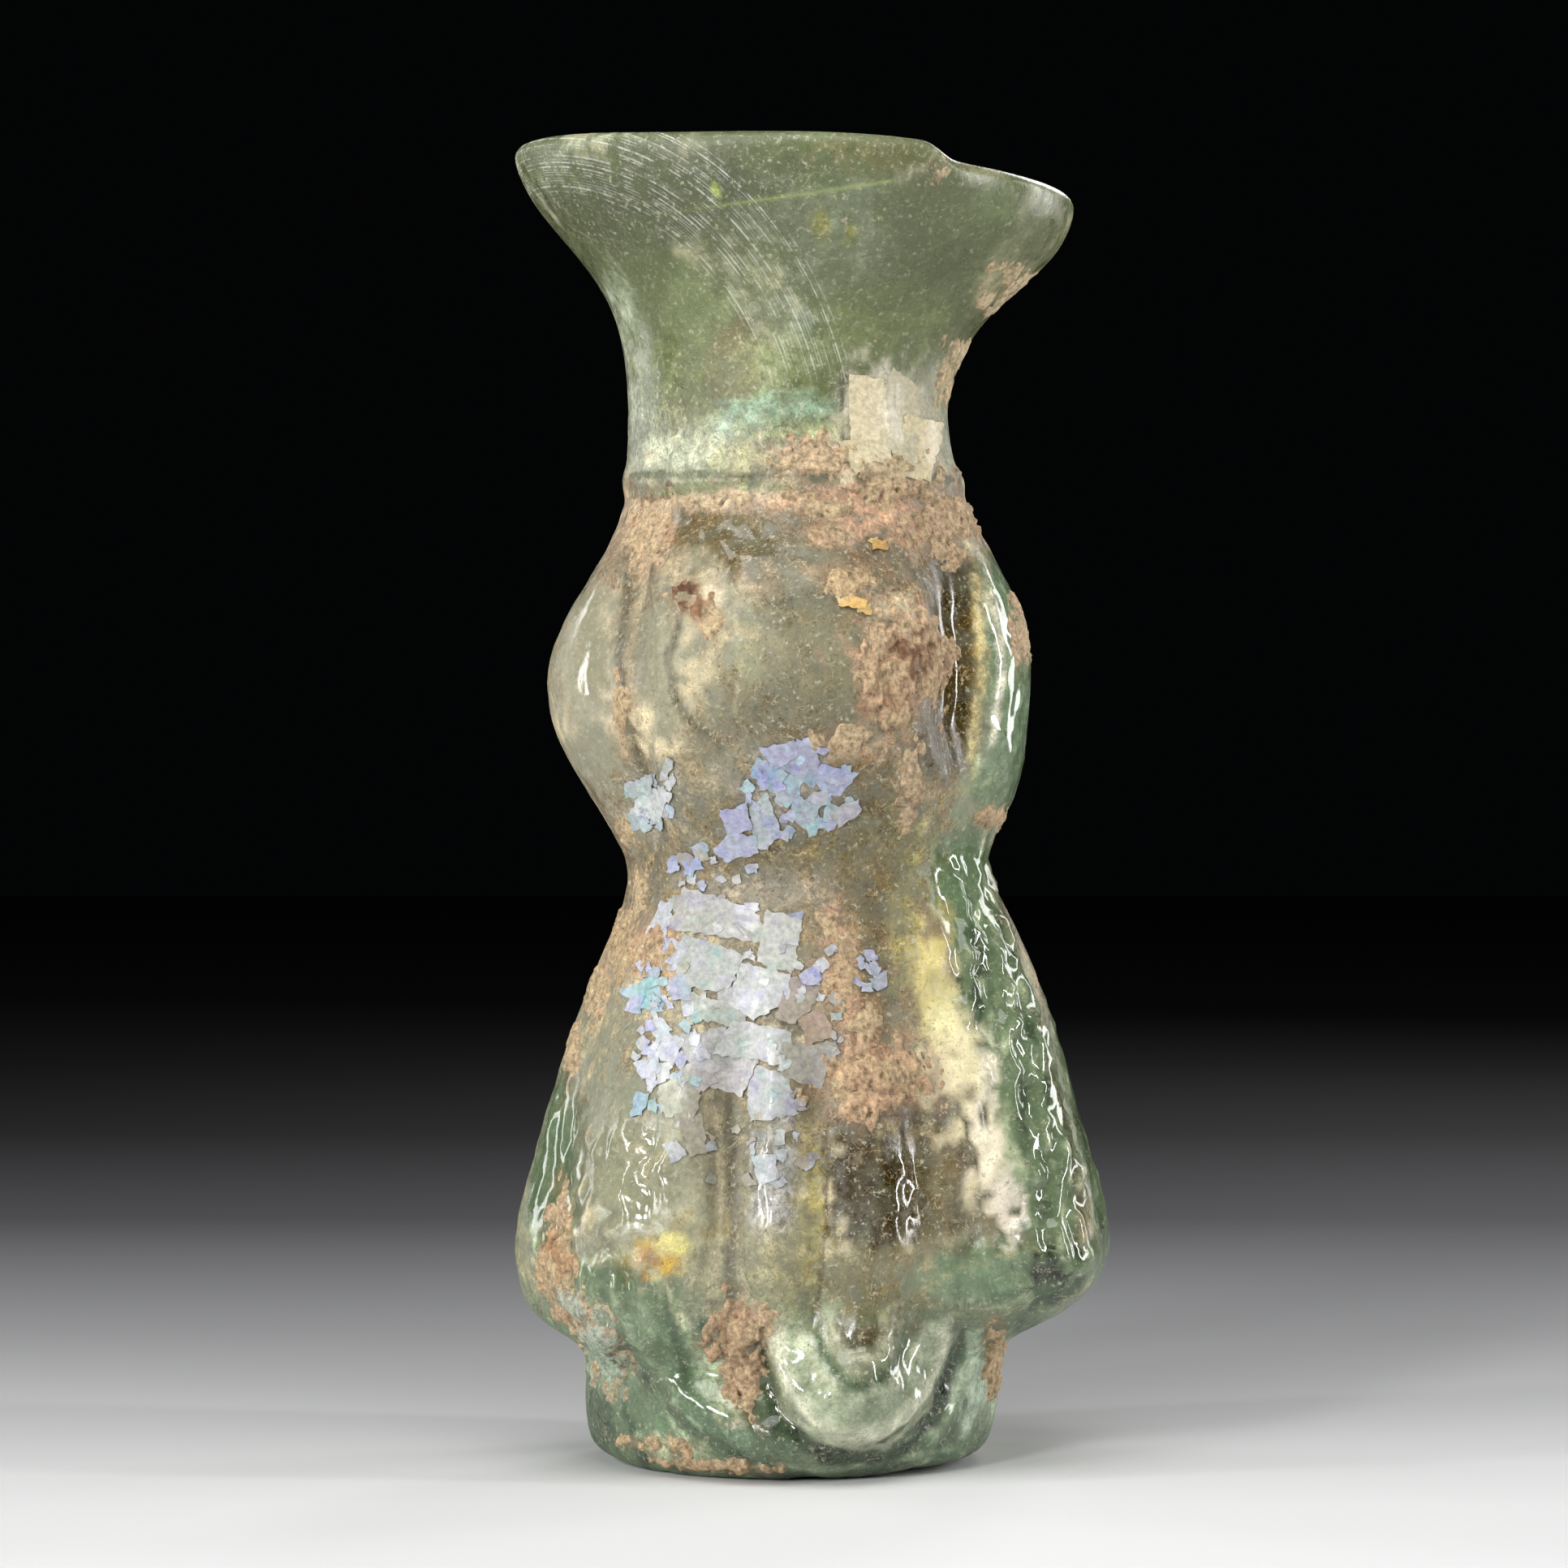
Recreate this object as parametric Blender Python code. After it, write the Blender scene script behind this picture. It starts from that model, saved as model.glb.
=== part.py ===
"""A small Roman glass unguentarium, pitted and crusted by its time in the ground.

One blown and pinched vessel: a flaring mouth with a rounded lip, a short neck, a lobed bulb, a waist, and a
skirt with four pulled corners over a stub foot. It is hollow, open at the mouth, and stands on its flat underside.
The front looks along -Y and +Z is up. Sizes are millimetres here and become metres where a point is placed.
"""

import math

import bmesh
import bpy
from mathutils import Vector

MM = 0.001

# Heights of the vessel's stretches, from the underside up
FOOT_HEIGHT = 6.8
SKIRT_HEIGHT = 27.5
BULB_HEIGHT = 23.0
NECK_HEIGHT = 4.2
MOUTH_HEIGHT = 13.9

# Radii of the round core that the lobes and corners stand on
UNDERSIDE_RADIUS = 9.9
FOOT_RADIUS = 12.1
HEM_RADIUS = 13.4
WAIST_RADIUS = 9.8
BULB_RADIUS = 13.3
SHOULDER_RADIUS = 9.8
NECK_RADIUS = 9.35
LIP_OUTER_RADIUS = 16.5

# Glass, measured level: the solid floor in the foot and the round of the bore above it, the walls, and the lip
FLOOR_THICKNESS = 5.0
FLOOR_ROUND = 4.0
SKIRT_WALL = 2.1
WAIST_WALL = 1.9
BULB_WALL = 1.5
NECK_WALL = 1.8
FLARE_WALL = 2.0
LIP_ROUND = 0.85
THINNEST_WALL = 1.0

# The skirt's four pulled corners: how thick each ridge is, and how far each reaches beyond the core. The left
# ones hang lower and sink into the waist sooner, and the front right one is pinched into waves. Thick glass
# fills the sides between them
CORNER_HALF_WIDTH = 6.4
FRONT_LEFT_REACH = 2.0
FRONT_RIGHT_REACH = 3.1
BACK_RIGHT_REACH = 3.9
BACK_LEFT_REACH = 1.9
LEFT_HANG = 0.9
FRONT_RIGHT_HANG = -0.9
LEFT_FALL = 1.5
RIGHT_FULLNESS = 3.2
LEFT_FULLNESS = 1.6
PINCH_DEPTH = 0.35
PINCH_SPACING = 5.6

# The bulb's two side lobes and the four creases that part them from the front and the back
SIDE_LOBE_RISE = 0.95
CREASE_DEPTH = 1.25
CREASE_HALF_WIDTH = 3.6

# Flutes down the front and the back of the skirt
FLUTE_DEPTH = 1.0
FLUTE_HALF_WIDTH = 2.1
BACK_FLUTE_DEPTH = 0.4

# Lobes of the foot: a broad tongue at the front with a small one on it, one at the back, and a slanting fold
TONGUE_RISE = 2.5
TONGUE_HALF_WIDTH = 6.0
TONGUE_HALF_HEIGHT = 5.4
INNER_TONGUE_RISE = 0.7
INNER_TONGUE_HALF_WIDTH = 2.6
INNER_TONGUE_HALF_HEIGHT = 3.0
BACK_LOBE_RISE = 1.0
FOLD_RISE = 1.2
FOLD_HALF_WIDTH = 2.6

# The thread of glass where neck and bulb meet
RING_RISE = 0.35
RING_HALF_HEIGHT = 1.0

# The mouth: it tips down to the right, and its edge climbs round the front to a step where the lip was closed
MOUTH_TIP_DEGREES = 5.2
LIP_CLIMB = 0.9
LIP_CLIMB_START = -35.0
LIP_STEP_AT = 31.5
LIP_STEP_WIDTH = 4.0

# Directions round the vessel in degrees: 0 is the front, 90 the right, -90 the left
FRONT_LEFT, FRONT_RIGHT, BACK_RIGHT, BACK_LEFT = -43.0, 61.0, 112.0, -98.0
CREASES = (-55.0, 50.0, 130.0, -125.0)
FRONT_FLUTES = (-17.0, 5.0, 32.0)
BACK_FLUTES = (160.0, -160.0)
TONGUE_AT = 15.0

# Faces round the wall, half as many in the bore below the neck. FRONT_CROWDING gathers them at the front
SIDES = 72
FRONT_CROWDING = 0.3

GLASS_COLOUR = (0.28, 0.36, 0.24, 1.0)
GLASS_ROUGHNESS = 0.3
GLASS_IOR = 1.5

# Levels that follow from the stretches
UNDERCUT_LEVEL = FOOT_HEIGHT
WAIST_LEVEL = UNDERCUT_LEVEL + SKIRT_HEIGHT
RING_LEVEL = WAIST_LEVEL + BULB_HEIGHT
NECK_LEVEL = RING_LEVEL + NECK_HEIGHT
TOP_LEVEL = NECK_LEVEL + MOUTH_HEIGHT


def foot_level(share):
    return share * FOOT_HEIGHT


def skirt_level(share):
    return UNDERCUT_LEVEL + share * SKIRT_HEIGHT


def bulb_level(share):
    return WAIST_LEVEL + share * BULB_HEIGHT


def mouth_level(share):
    return NECK_LEVEL + share * MOUTH_HEIGHT


# The upright profile of the core. Each pair is a level and the core's radius there
CORE_PROFILE = (
    (0.0, UNDERSIDE_RADIUS),
    (foot_level(0.06), UNDERSIDE_RADIUS + 0.55 * (FOOT_RADIUS - UNDERSIDE_RADIUS)),
    (foot_level(0.24), UNDERSIDE_RADIUS + 0.86 * (FOOT_RADIUS - UNDERSIDE_RADIUS)),
    (foot_level(0.60), FOOT_RADIUS),
    (UNDERCUT_LEVEL, FOOT_RADIUS - 0.1),
    (skirt_level(0.07), FOOT_RADIUS + 0.35 * (HEM_RADIUS - FOOT_RADIUS)),
    (skirt_level(0.20), HEM_RADIUS),
    (skirt_level(0.42), HEM_RADIUS - 0.14 * (HEM_RADIUS - WAIST_RADIUS)),
    (skirt_level(0.65), HEM_RADIUS - 0.40 * (HEM_RADIUS - WAIST_RADIUS)),
    (skirt_level(0.86), HEM_RADIUS - 0.79 * (HEM_RADIUS - WAIST_RADIUS)),
    (WAIST_LEVEL, WAIST_RADIUS),
    (bulb_level(0.15), WAIST_RADIUS + 0.42 * (BULB_RADIUS - WAIST_RADIUS)),
    (bulb_level(0.31), WAIST_RADIUS + 0.83 * (BULB_RADIUS - WAIST_RADIUS)),
    (bulb_level(0.50), BULB_RADIUS),
    (bulb_level(0.70), BULB_RADIUS - 0.34 * (BULB_RADIUS - SHOULDER_RADIUS)),
    (bulb_level(0.82), BULB_RADIUS - 0.76 * (BULB_RADIUS - SHOULDER_RADIUS)),
    (bulb_level(0.93), SHOULDER_RADIUS),
    (RING_LEVEL, SHOULDER_RADIUS - 0.35 * (SHOULDER_RADIUS - NECK_RADIUS)),
    (NECK_LEVEL, NECK_RADIUS),
    (mouth_level(0.22), NECK_RADIUS + 0.07 * (LIP_OUTER_RADIUS - NECK_RADIUS)),
    (mouth_level(0.36), NECK_RADIUS + 0.17 * (LIP_OUTER_RADIUS - NECK_RADIUS)),
    (mouth_level(0.50), NECK_RADIUS + 0.36 * (LIP_OUTER_RADIUS - NECK_RADIUS)),
    (mouth_level(0.63), NECK_RADIUS + 0.61 * (LIP_OUTER_RADIUS - NECK_RADIUS)),
    (mouth_level(0.76), NECK_RADIUS + 0.86 * (LIP_OUTER_RADIUS - NECK_RADIUS)),
    (TOP_LEVEL - 1.5 * LIP_ROUND, LIP_OUTER_RADIUS),
    (TOP_LEVEL, LIP_OUTER_RADIUS),
)

# How far the hand-shaped vessel strays from its axis, to the right
LEAN_PROFILE = (
    (0.0, -0.2),
    (skirt_level(0.1), 0.1),
    (skirt_level(0.4), 0.15),
    (WAIST_LEVEL, 0.6),
    (bulb_level(0.15), 0.6),
    (bulb_level(0.45), -0.3),
    (bulb_level(0.82), 0.3),
    (NECK_LEVEL, -0.35),
    (mouth_level(0.5), 0.3),
    (TOP_LEVEL, 0.05),
)

# A corner's ridge: its level and the share of its reach that stands there
CORNER_PROFILE = (
    (foot_level(0.75), 0.0),
    (foot_level(1.0), 0.13),
    (skirt_level(0.02), 0.20),
    (skirt_level(0.055), 0.70),
    (skirt_level(0.09), 0.96),
    (skirt_level(0.18), 1.0),
    (skirt_level(0.30), 0.94),
    (skirt_level(0.44), 0.80),
    (skirt_level(0.65), 0.63),
    (skirt_level(0.86), 0.44),
    (skirt_level(0.93), 0.34),
    (skirt_level(1.0), 0.13),
    (bulb_level(0.05), 0.0),
)

# The wall's thickness at a level
WALL_PROFILE = (
    (FLOOR_THICKNESS, SKIRT_WALL + 0.6),
    (skirt_level(0.2), SKIRT_WALL),
    (WAIST_LEVEL, WAIST_WALL),
    (bulb_level(0.45), BULB_WALL),
    (RING_LEVEL, NECK_WALL),
    (NECK_LEVEL, NECK_WALL),
    (mouth_level(0.6), FLARE_WALL),
    (TOP_LEVEL, 2.0 * LIP_ROUND),
)


def smooth_profile(stations, level):
    """The value at a level, on a curve through the stations that never overshoots them."""
    if level <= stations[0][0]:
        return stations[0][1]
    if level >= stations[-1][0]:
        return stations[-1][1]
    slopes = [(b[1] - a[1]) / (b[0] - a[0]) for a, b in zip(stations, stations[1:])]
    index = max(i for i in range(len(slopes)) if stations[i][0] <= level)

    def tangent(i):
        if i in (0, len(slopes)) or slopes[i - 1] * slopes[i] <= 0.0:
            return 0.0
        return 2.0 * slopes[i - 1] * slopes[i] / (slopes[i - 1] + slopes[i])

    (low, start), (high, end) = stations[index], stations[index + 1]
    run = high - low
    t = (level - low) / run
    return (
        start * (1.0 + 2.0 * t) * (1.0 - t) ** 2
        + end * t * t * (3.0 - 2.0 * t)
        + run * t * (1.0 - t) * (tangent(index) * (1.0 - t) - tangent(index + 1) * t)
    )


def swell(share):
    """1 at the middle of a raised form and 0 at its edge, where share is 1, round all the way."""
    return (1.0 - share * share) ** 2 if abs(share) < 1.0 else 0.0


def rise_between(start, end, value):
    """0 at start and 1 at end, easing in and out."""
    t = min(max((value - start) / (end - start), 0.0), 1.0)
    return t * t * (3.0 - 2.0 * t)


def turn_between(direction, other):
    """The shorter turn in degrees from other to direction."""
    return (direction - other + 180.0) % 360.0 - 180.0


def arc_between(direction, other, radius):
    """That turn as a length round the wall."""
    return math.radians(turn_between(direction, other)) * radius


def corner_rise(direction, level, radius):
    """The full sides, then the four corners: direction, reach, hang, fall and depth of pinching of each."""
    sideways = math.sin(math.radians(direction))
    if sideways > 0.0:
        rise = RIGHT_FULLNESS * sideways ** 2 * smooth_profile(CORNER_PROFILE, level)
    else:
        rise = LEFT_FULLNESS * sideways ** 2 * smooth_profile(CORNER_PROFILE, level + LEFT_HANG) ** LEFT_FALL
    for at, reach, hang, fall, pinch in (
        (FRONT_LEFT, FRONT_LEFT_REACH, LEFT_HANG, LEFT_FALL, 0.0),
        (FRONT_RIGHT, FRONT_RIGHT_REACH, FRONT_RIGHT_HANG, 1.0, PINCH_DEPTH),
        (BACK_RIGHT, BACK_RIGHT_REACH, 0.0, 1.0, 0.0),
        (BACK_LEFT, BACK_LEFT_REACH, LEFT_HANG, LEFT_FALL, 0.0),
    ):
        stands = smooth_profile(CORNER_PROFILE, level + hang) ** fall
        across = arc_between(direction, at, radius + 0.5 * reach * stands)
        height = (reach + pinch * math.sin(2.0 * math.pi * level / PINCH_SPACING)) * stands
        rise += height * swell(across / CORNER_HALF_WIDTH)
    return rise


def bulb_rise(direction, level, radius):
    """Side lobes and creases of the bulb, strongest at its middle."""
    strength = swell((level - bulb_level(0.47)) / (0.56 * BULB_HEIGHT))
    side = max(abs(math.sin(math.radians(direction))), 0.0) ** 3
    crease = sum(swell(arc_between(direction, at, radius) / CREASE_HALF_WIDTH) for at in CREASES)
    return strength ** 0.5 * (SIDE_LOBE_RISE * side - CREASE_DEPTH * crease)


def flute_rise(direction, level, radius):
    """Grooves down the skirt, three at the front and two shallow ones at the back."""
    strength = rise_between(skirt_level(0.0), skirt_level(0.12), level)
    strength *= 1.0 - rise_between(skirt_level(0.5), skirt_level(0.8), level)
    front = sum(swell(arc_between(direction, at, radius) / FLUTE_HALF_WIDTH) for at in FRONT_FLUTES)
    back = sum(swell(arc_between(direction, at, radius) / FLUTE_HALF_WIDTH) for at in BACK_FLUTES)
    return -strength * (FLUTE_DEPTH * front + BACK_FLUTE_DEPTH * back)


def foot_rise(direction, level, radius):
    """The tongue, the small one on it, the back lobe, and the fold that slants down from the front left corner."""
    middle = foot_level(0.78)

    def lobe(at, rise, half_width, half_height):
        across = arc_between(direction, at, radius) / half_width
        up = (level - middle) / half_height
        return rise * swell(min(math.hypot(across, up), 1.0))

    rise = lobe(TONGUE_AT, TONGUE_RISE, TONGUE_HALF_WIDTH, TONGUE_HALF_HEIGHT)
    rise += lobe(TONGUE_AT - 2.0, INNER_TONGUE_RISE, INNER_TONGUE_HALF_WIDTH, INNER_TONGUE_HALF_HEIGHT)
    rise += lobe(180.0, BACK_LOBE_RISE, TONGUE_HALF_WIDTH, TONGUE_HALF_HEIGHT)
    down = rise_between(skirt_level(0.08), foot_level(0.1), level)
    fold_at = FRONT_LEFT + (TONGUE_AT - 14.0 - FRONT_LEFT) * down ** 1.5
    fold = swell(arc_between(direction, fold_at, radius) / (FOLD_HALF_WIDTH * (1.0 + down)))
    fold *= rise_between(skirt_level(0.12), skirt_level(0.03), level)
    return (rise + FOLD_RISE * fold) * rise_between(0.0, foot_level(0.35), level)


def outside_radius(direction, level):
    core = smooth_profile(CORE_PROFILE, level)
    ring = RING_RISE * swell((level - RING_LEVEL) / RING_HALF_HEIGHT)
    return (
        core
        + ring
        + corner_rise(direction, level, core)
        + bulb_rise(direction, level, core)
        + flute_rise(direction, level, core)
        + foot_rise(direction, level, core)
    )


def inside_radius(direction, level):
    """The bore: the core less its wall, following the bulb's lobes softly and never thinning the wall too far."""
    core = smooth_profile(CORE_PROFILE, level)
    bore = core - smooth_profile(WALL_PROFILE, level)
    bore += 0.6 * bulb_rise(direction, level, core)
    return min(bore, outside_radius(direction, level) - THINNEST_WALL)


def mouth_shift(direction, radius, level):
    """How far a point of the mouth is raised by its tip and by the climb of the lip to its step."""
    tipped = rise_between(NECK_LEVEL, mouth_level(0.8), level)
    across = radius * math.sin(math.radians(direction))
    climb = rise_between(LIP_CLIMB_START, LIP_STEP_AT - LIP_STEP_WIDTH, direction)
    climb *= 1.0 - rise_between(LIP_STEP_AT - 0.5 * LIP_STEP_WIDTH, LIP_STEP_AT + 0.5 * LIP_STEP_WIDTH, direction)
    near_lip = rise_between(mouth_level(0.62), mouth_level(0.93), level)
    return LIP_CLIMB * climb * near_lip - math.tan(math.radians(MOUTH_TIP_DEGREES)) * across * tipped


def wall_point(direction, radius, level):
    """A point of the wall in metres, from its direction, radius and level in millimetres."""
    turn = math.radians(direction)
    x = smooth_profile(LEAN_PROFILE, level) + radius * math.sin(turn)
    y = -radius * math.cos(turn)
    return Vector((x, y, level + mouth_shift(direction, radius, level))) * MM


def directions(sides):
    """Directions from -180 to just under 180, closer together at the front."""
    turns = [2.0 * math.pi * i / sides - math.pi for i in range(sides)]
    return [math.degrees(turn - FRONT_CROWDING * math.sin(turn)) for turn in turns]


def levels(start, end, count, crowding=1.0):
    """Levels from start up to just below end. A crowding over 1 gathers them near the start."""
    return [start + (end - start) * (i / count) ** crowding for i in range(count)]


def outside_levels():
    """From the underside's edge to the lip, closest at the hem, the shoulder and the neck ring."""
    return (
        levels(0.0, UNDERCUT_LEVEL, 9)
        + levels(UNDERCUT_LEVEL, WAIST_LEVEL, 16, 1.3)
        + levels(WAIST_LEVEL, bulb_level(0.93), 12)
        + levels(bulb_level(0.93), RING_LEVEL + RING_HALF_HEIGHT, 4)
        + levels(RING_LEVEL + RING_HALF_HEIGHT, TOP_LEVEL - 1.5 * LIP_ROUND, 8)
    )


def lip_points():
    """The rounded lip, outside to inside: the radius and level of each point of its arc."""
    middle_radius = LIP_OUTER_RADIUS - LIP_ROUND
    middle_level = TOP_LEVEL - LIP_ROUND
    turns = [math.radians(degrees) for degrees in (-15.0, 35.0, 90.0, 145.0)]
    return [
        (middle_radius + LIP_ROUND * math.cos(turn), middle_level + LIP_ROUND * math.sin(turn))
        for turn in turns
    ]


def bore_rings():
    """The bore from the neck down to its round floor: each ring's level and its share of the full bore."""
    floor_edge = FLOOR_THICKNESS + FLOOR_ROUND
    rings = [(level, 1.0) for level in levels(NECK_LEVEL, WAIST_LEVEL, 8)]
    rings += [(level, 1.0) for level in levels(WAIST_LEVEL, floor_edge, 6)]
    for degrees in (0.0, 35.0, 62.0, 80.0):
        turn = math.radians(degrees)
        rings.append((floor_edge - FLOOR_ROUND * math.sin(turn), math.cos(turn)))
    return rings


def add_ring(mesh, ring_directions, radius_of, level):
    return [mesh.verts.new(wall_point(d, radius_of(d), level)) for d in ring_directions]


def join_rings(mesh, lower, upper):
    """Faces between two rings of as many points, facing out where upper is further along the wall."""
    for i, point in enumerate(lower):
        after = (i + 1) % len(lower)
        mesh.faces.new((point, lower[after], upper[after], upper[i]))


def join_to_half(mesh, full, half):
    """Faces between a ring and one with half as many points."""
    for i, point in enumerate(half):
        after = half[(i + 1) % len(half)]
        first, middle, last = full[2 * i], full[2 * i + 1], full[(2 * i + 2) % len(full)]
        mesh.faces.new((first, middle, point))
        mesh.faces.new((middle, after, point))
        mesh.faces.new((middle, last, after))


def close_ring(mesh, ring, centre, facing_down):
    """A fan from the ring to its centre."""
    middle = mesh.verts.new(centre)
    for i, point in enumerate(ring):
        after = ring[(i + 1) % len(ring)]
        mesh.faces.new((middle, after, point) if facing_down else (middle, point, after))


def flask_mesh():
    """The whole wall in one surface: underside, outside, lip, bore and the bore's floor."""
    mesh = bmesh.new()
    around = directions(SIDES)

    outside = [
        add_ring(mesh, around, lambda d, at=level: outside_radius(d, at), level)
        for level in outside_levels()
    ]
    outside += [
        add_ring(mesh, around, lambda d, fixed=radius: fixed, level) for radius, level in lip_points()
    ]
    outside += [
        add_ring(mesh, around, lambda d, at=level: inside_radius(d, at), level)
        for level in levels(TOP_LEVEL - 3.0 * LIP_ROUND, NECK_LEVEL, 5)
    ]
    for lower, upper in zip(outside, outside[1:]):
        join_rings(mesh, lower, upper)
    close_ring(mesh, outside[0], wall_point(0.0, 0.0, 0.0), facing_down=True)

    bore = [
        add_ring(mesh, around[::2], lambda d, at=level, s=share: s * inside_radius(d, at), level)
        for level, share in bore_rings()
    ]
    join_to_half(mesh, outside[-1], bore[0])
    for upper, lower in zip(bore, bore[1:]):
        join_rings(mesh, upper, lower)
    close_ring(mesh, bore[-1], wall_point(0.0, 0.0, FLOOR_THICKNESS), facing_down=False)
    bmesh.ops.triangulate(mesh, faces=mesh.faces)
    return mesh


def centre_on_footprint(mesh):
    """Moves the vessel so that the middle of its outline from above is over the origin."""
    for axis in (0, 1):
        places = [point.co[axis] for point in mesh.verts]
        middle = 0.5 * (min(places) + max(places))
        for point in mesh.verts:
            point.co[axis] -= middle


def green_glass():
    """Thin bluish green glass, dulled by weathering."""
    material = bpy.data.materials.new("weathered_green_glass")
    material.use_nodes = True
    material.diffuse_color = GLASS_COLOUR
    shader = material.node_tree.nodes["Principled BSDF"]
    shader.inputs["Base Color"].default_value = GLASS_COLOUR
    shader.inputs["Roughness"].default_value = GLASS_ROUGHNESS
    shader.inputs["Metallic"].default_value = 0.0
    shader.inputs["IOR"].default_value = GLASS_IOR
    shader.inputs["Transmission Weight"].default_value = 0.7
    return material


def add_flask():
    mesh = flask_mesh()
    centre_on_footprint(mesh)
    data = bpy.data.meshes.new("flask")
    mesh.to_mesh(data)
    mesh.free()
    data.shade_smooth()
    data.set_sharp_from_angle(angle=math.radians(50.0))
    data.materials.append(green_glass())
    flask = bpy.data.objects.new("flask", data)
    bpy.context.scene.collection.objects.link(flask)
    return flask


for old in list(bpy.data.objects):
    bpy.data.objects.remove(old)

add_flask()
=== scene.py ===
import math
import random

import bmesh
import bpy
import numpy as np
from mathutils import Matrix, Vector, noise
from mathutils.bvhtree import BVHTree


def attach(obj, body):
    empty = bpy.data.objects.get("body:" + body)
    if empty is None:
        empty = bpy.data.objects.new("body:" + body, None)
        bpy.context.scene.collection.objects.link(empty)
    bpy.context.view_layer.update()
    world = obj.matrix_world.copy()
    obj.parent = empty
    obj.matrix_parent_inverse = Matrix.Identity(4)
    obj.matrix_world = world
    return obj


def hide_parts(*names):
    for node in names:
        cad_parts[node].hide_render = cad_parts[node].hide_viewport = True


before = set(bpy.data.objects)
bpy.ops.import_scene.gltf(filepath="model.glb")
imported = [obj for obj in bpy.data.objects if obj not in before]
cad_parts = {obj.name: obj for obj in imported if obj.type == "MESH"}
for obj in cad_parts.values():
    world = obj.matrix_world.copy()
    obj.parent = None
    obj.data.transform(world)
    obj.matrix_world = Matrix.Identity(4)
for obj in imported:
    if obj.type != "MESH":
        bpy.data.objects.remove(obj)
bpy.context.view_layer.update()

# The place and the light. The flask stands on a floor painted pale under it and falling away to black
# behind, as painted light and shade, in a dark room, and is seen from 300 mm, level with its middle. Tall
# soft lights stand at its sides, and others behind, above and in front of it.
MM = 0.001
VIEW_FROM = Vector((-1.8, -300.0, 39.5)) * MM
FIELD_WIDTH = 92.0 * MM
SENSOR_WIDTH = 36.0
NEAREST_SEEN = 10.0 * MM
ROOM_COLOUR = "#8f9aa5"
ROOM_LIGHT = 0.004
FLOOR_HALF = 1500.0 * MM
# The floor's painted light: the span behind the flask, in millimetres, over which its colour falls from lit
# pale to dark
FLOOR_FALLOFF_SPAN = (-20.0, 420.0)
FLOOR_PAINTED_LIT = "#e6e6e6"
FLOOR_PAINTED_FALLOFF = ((0.2, "#a8a8aa"), (0.42, "#5a5a5e"), (0.68, "#242427"))
FLOOR_PAINTED_DARK = "#050505"


def colour(hex_value):
    """A linear colour from an sRGB hex value."""
    parts = [int(hex_value[i:i + 2], 16) / 255.0 for i in (1, 3, 5)]
    return tuple(p / 12.92 if p <= 0.04045 else ((p + 0.055) / 1.055) ** 2.4 for p in parts) + (1.0,)


def add(tree, kind, inputs=None, **settings):
    """One node: its settings, and each input's value or the output socket that feeds it."""
    made = tree.nodes.new(kind)
    for name, value in settings.items():
        setattr(made, name, value)
    for key, value in (inputs or {}).items():
        if isinstance(value, bpy.types.NodeSocket):
            tree.links.new(value, made.inputs[key])
        else:
            made.inputs[key].default_value = value
    return made


def new_material(name):
    """An empty material: its node tree and its shader, already linked to the output."""
    material = bpy.data.materials.new(name)
    material.use_nodes = True
    tree = material.node_tree
    tree.nodes.clear()
    shader = add(tree, "ShaderNodeBsdfPrincipled")
    output = add(tree, "ShaderNodeOutputMaterial", {"Surface": shader.outputs[0]})
    return material, tree, shader, output


def soft_light(name, place, aim, size, watts):
    """A soft box at a place in millimetres, turned to face another."""
    light = bpy.data.lights.new(name, "AREA")
    light.shape = "RECTANGLE"
    light.size, light.size_y = (side * MM for side in size)
    light.energy = watts
    held = bpy.data.objects.new(name, light)
    held.location = Vector(place) * MM
    held.rotation_euler = (Vector(aim) - Vector(place)).to_track_quat("-Z", "Y").to_euler()
    bpy.context.scene.collection.objects.link(held)


soft_light("left_light", (-270, -110, 110), (0, 0, 40), (22, 170), 0.26)
soft_light("left_edge_light", (-250, 140, 90), (0, 0, 40), (50, 220), 0.19)
soft_light("right_light", (270, -60, 100), (0, 0, 40), (22, 170), 0.34)
soft_light("right_edge_light", (250, 150, 90), (0, 0, 40), (60, 220), 0.30)
soft_light("front_left_light", (-205, -215, 75), (0, 0, 35), (28, 90), 0.19)
soft_light("top_light", (0, -75, 160), (0, -65, 0), (130, 110), 0.165)
soft_light("front_light", (-190, -380, 170), (0, 0, 36), (60, 60), 0.78)
soft_light("back_light", (160, 420, 260), (0, 0, 45), (120, 120), 0.40)

camera = bpy.data.objects.new("camera", bpy.data.cameras.new("camera"))
camera.location = VIEW_FROM
camera.rotation_euler = (math.radians(90.0), 0.0, 0.0)
camera.data.sensor_width = SENSOR_WIDTH
camera.data.lens = SENSOR_WIDTH * -VIEW_FROM.y / FIELD_WIDTH
camera.data.clip_start = NEAREST_SEEN
bpy.context.scene.collection.objects.link(camera)
bpy.context.scene.camera = camera
bpy.context.scene.view_settings.view_transform = "Standard"

room = bpy.data.worlds.new("dark_room")
room.use_nodes = True
room.node_tree.nodes["Background"].inputs["Color"].default_value = colour(ROOM_COLOUR)
room.node_tree.nodes["Background"].inputs["Strength"].default_value = ROOM_LIGHT
bpy.context.scene.world = room

bpy.ops.object.select_all(action="DESELECT")
bpy.ops.mesh.primitive_plane_add(size=2.0 * FLOOR_HALF, location=(0.0, 0.0, 0.0))
floor = bpy.context.active_object
floor.name = "floor"
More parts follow.
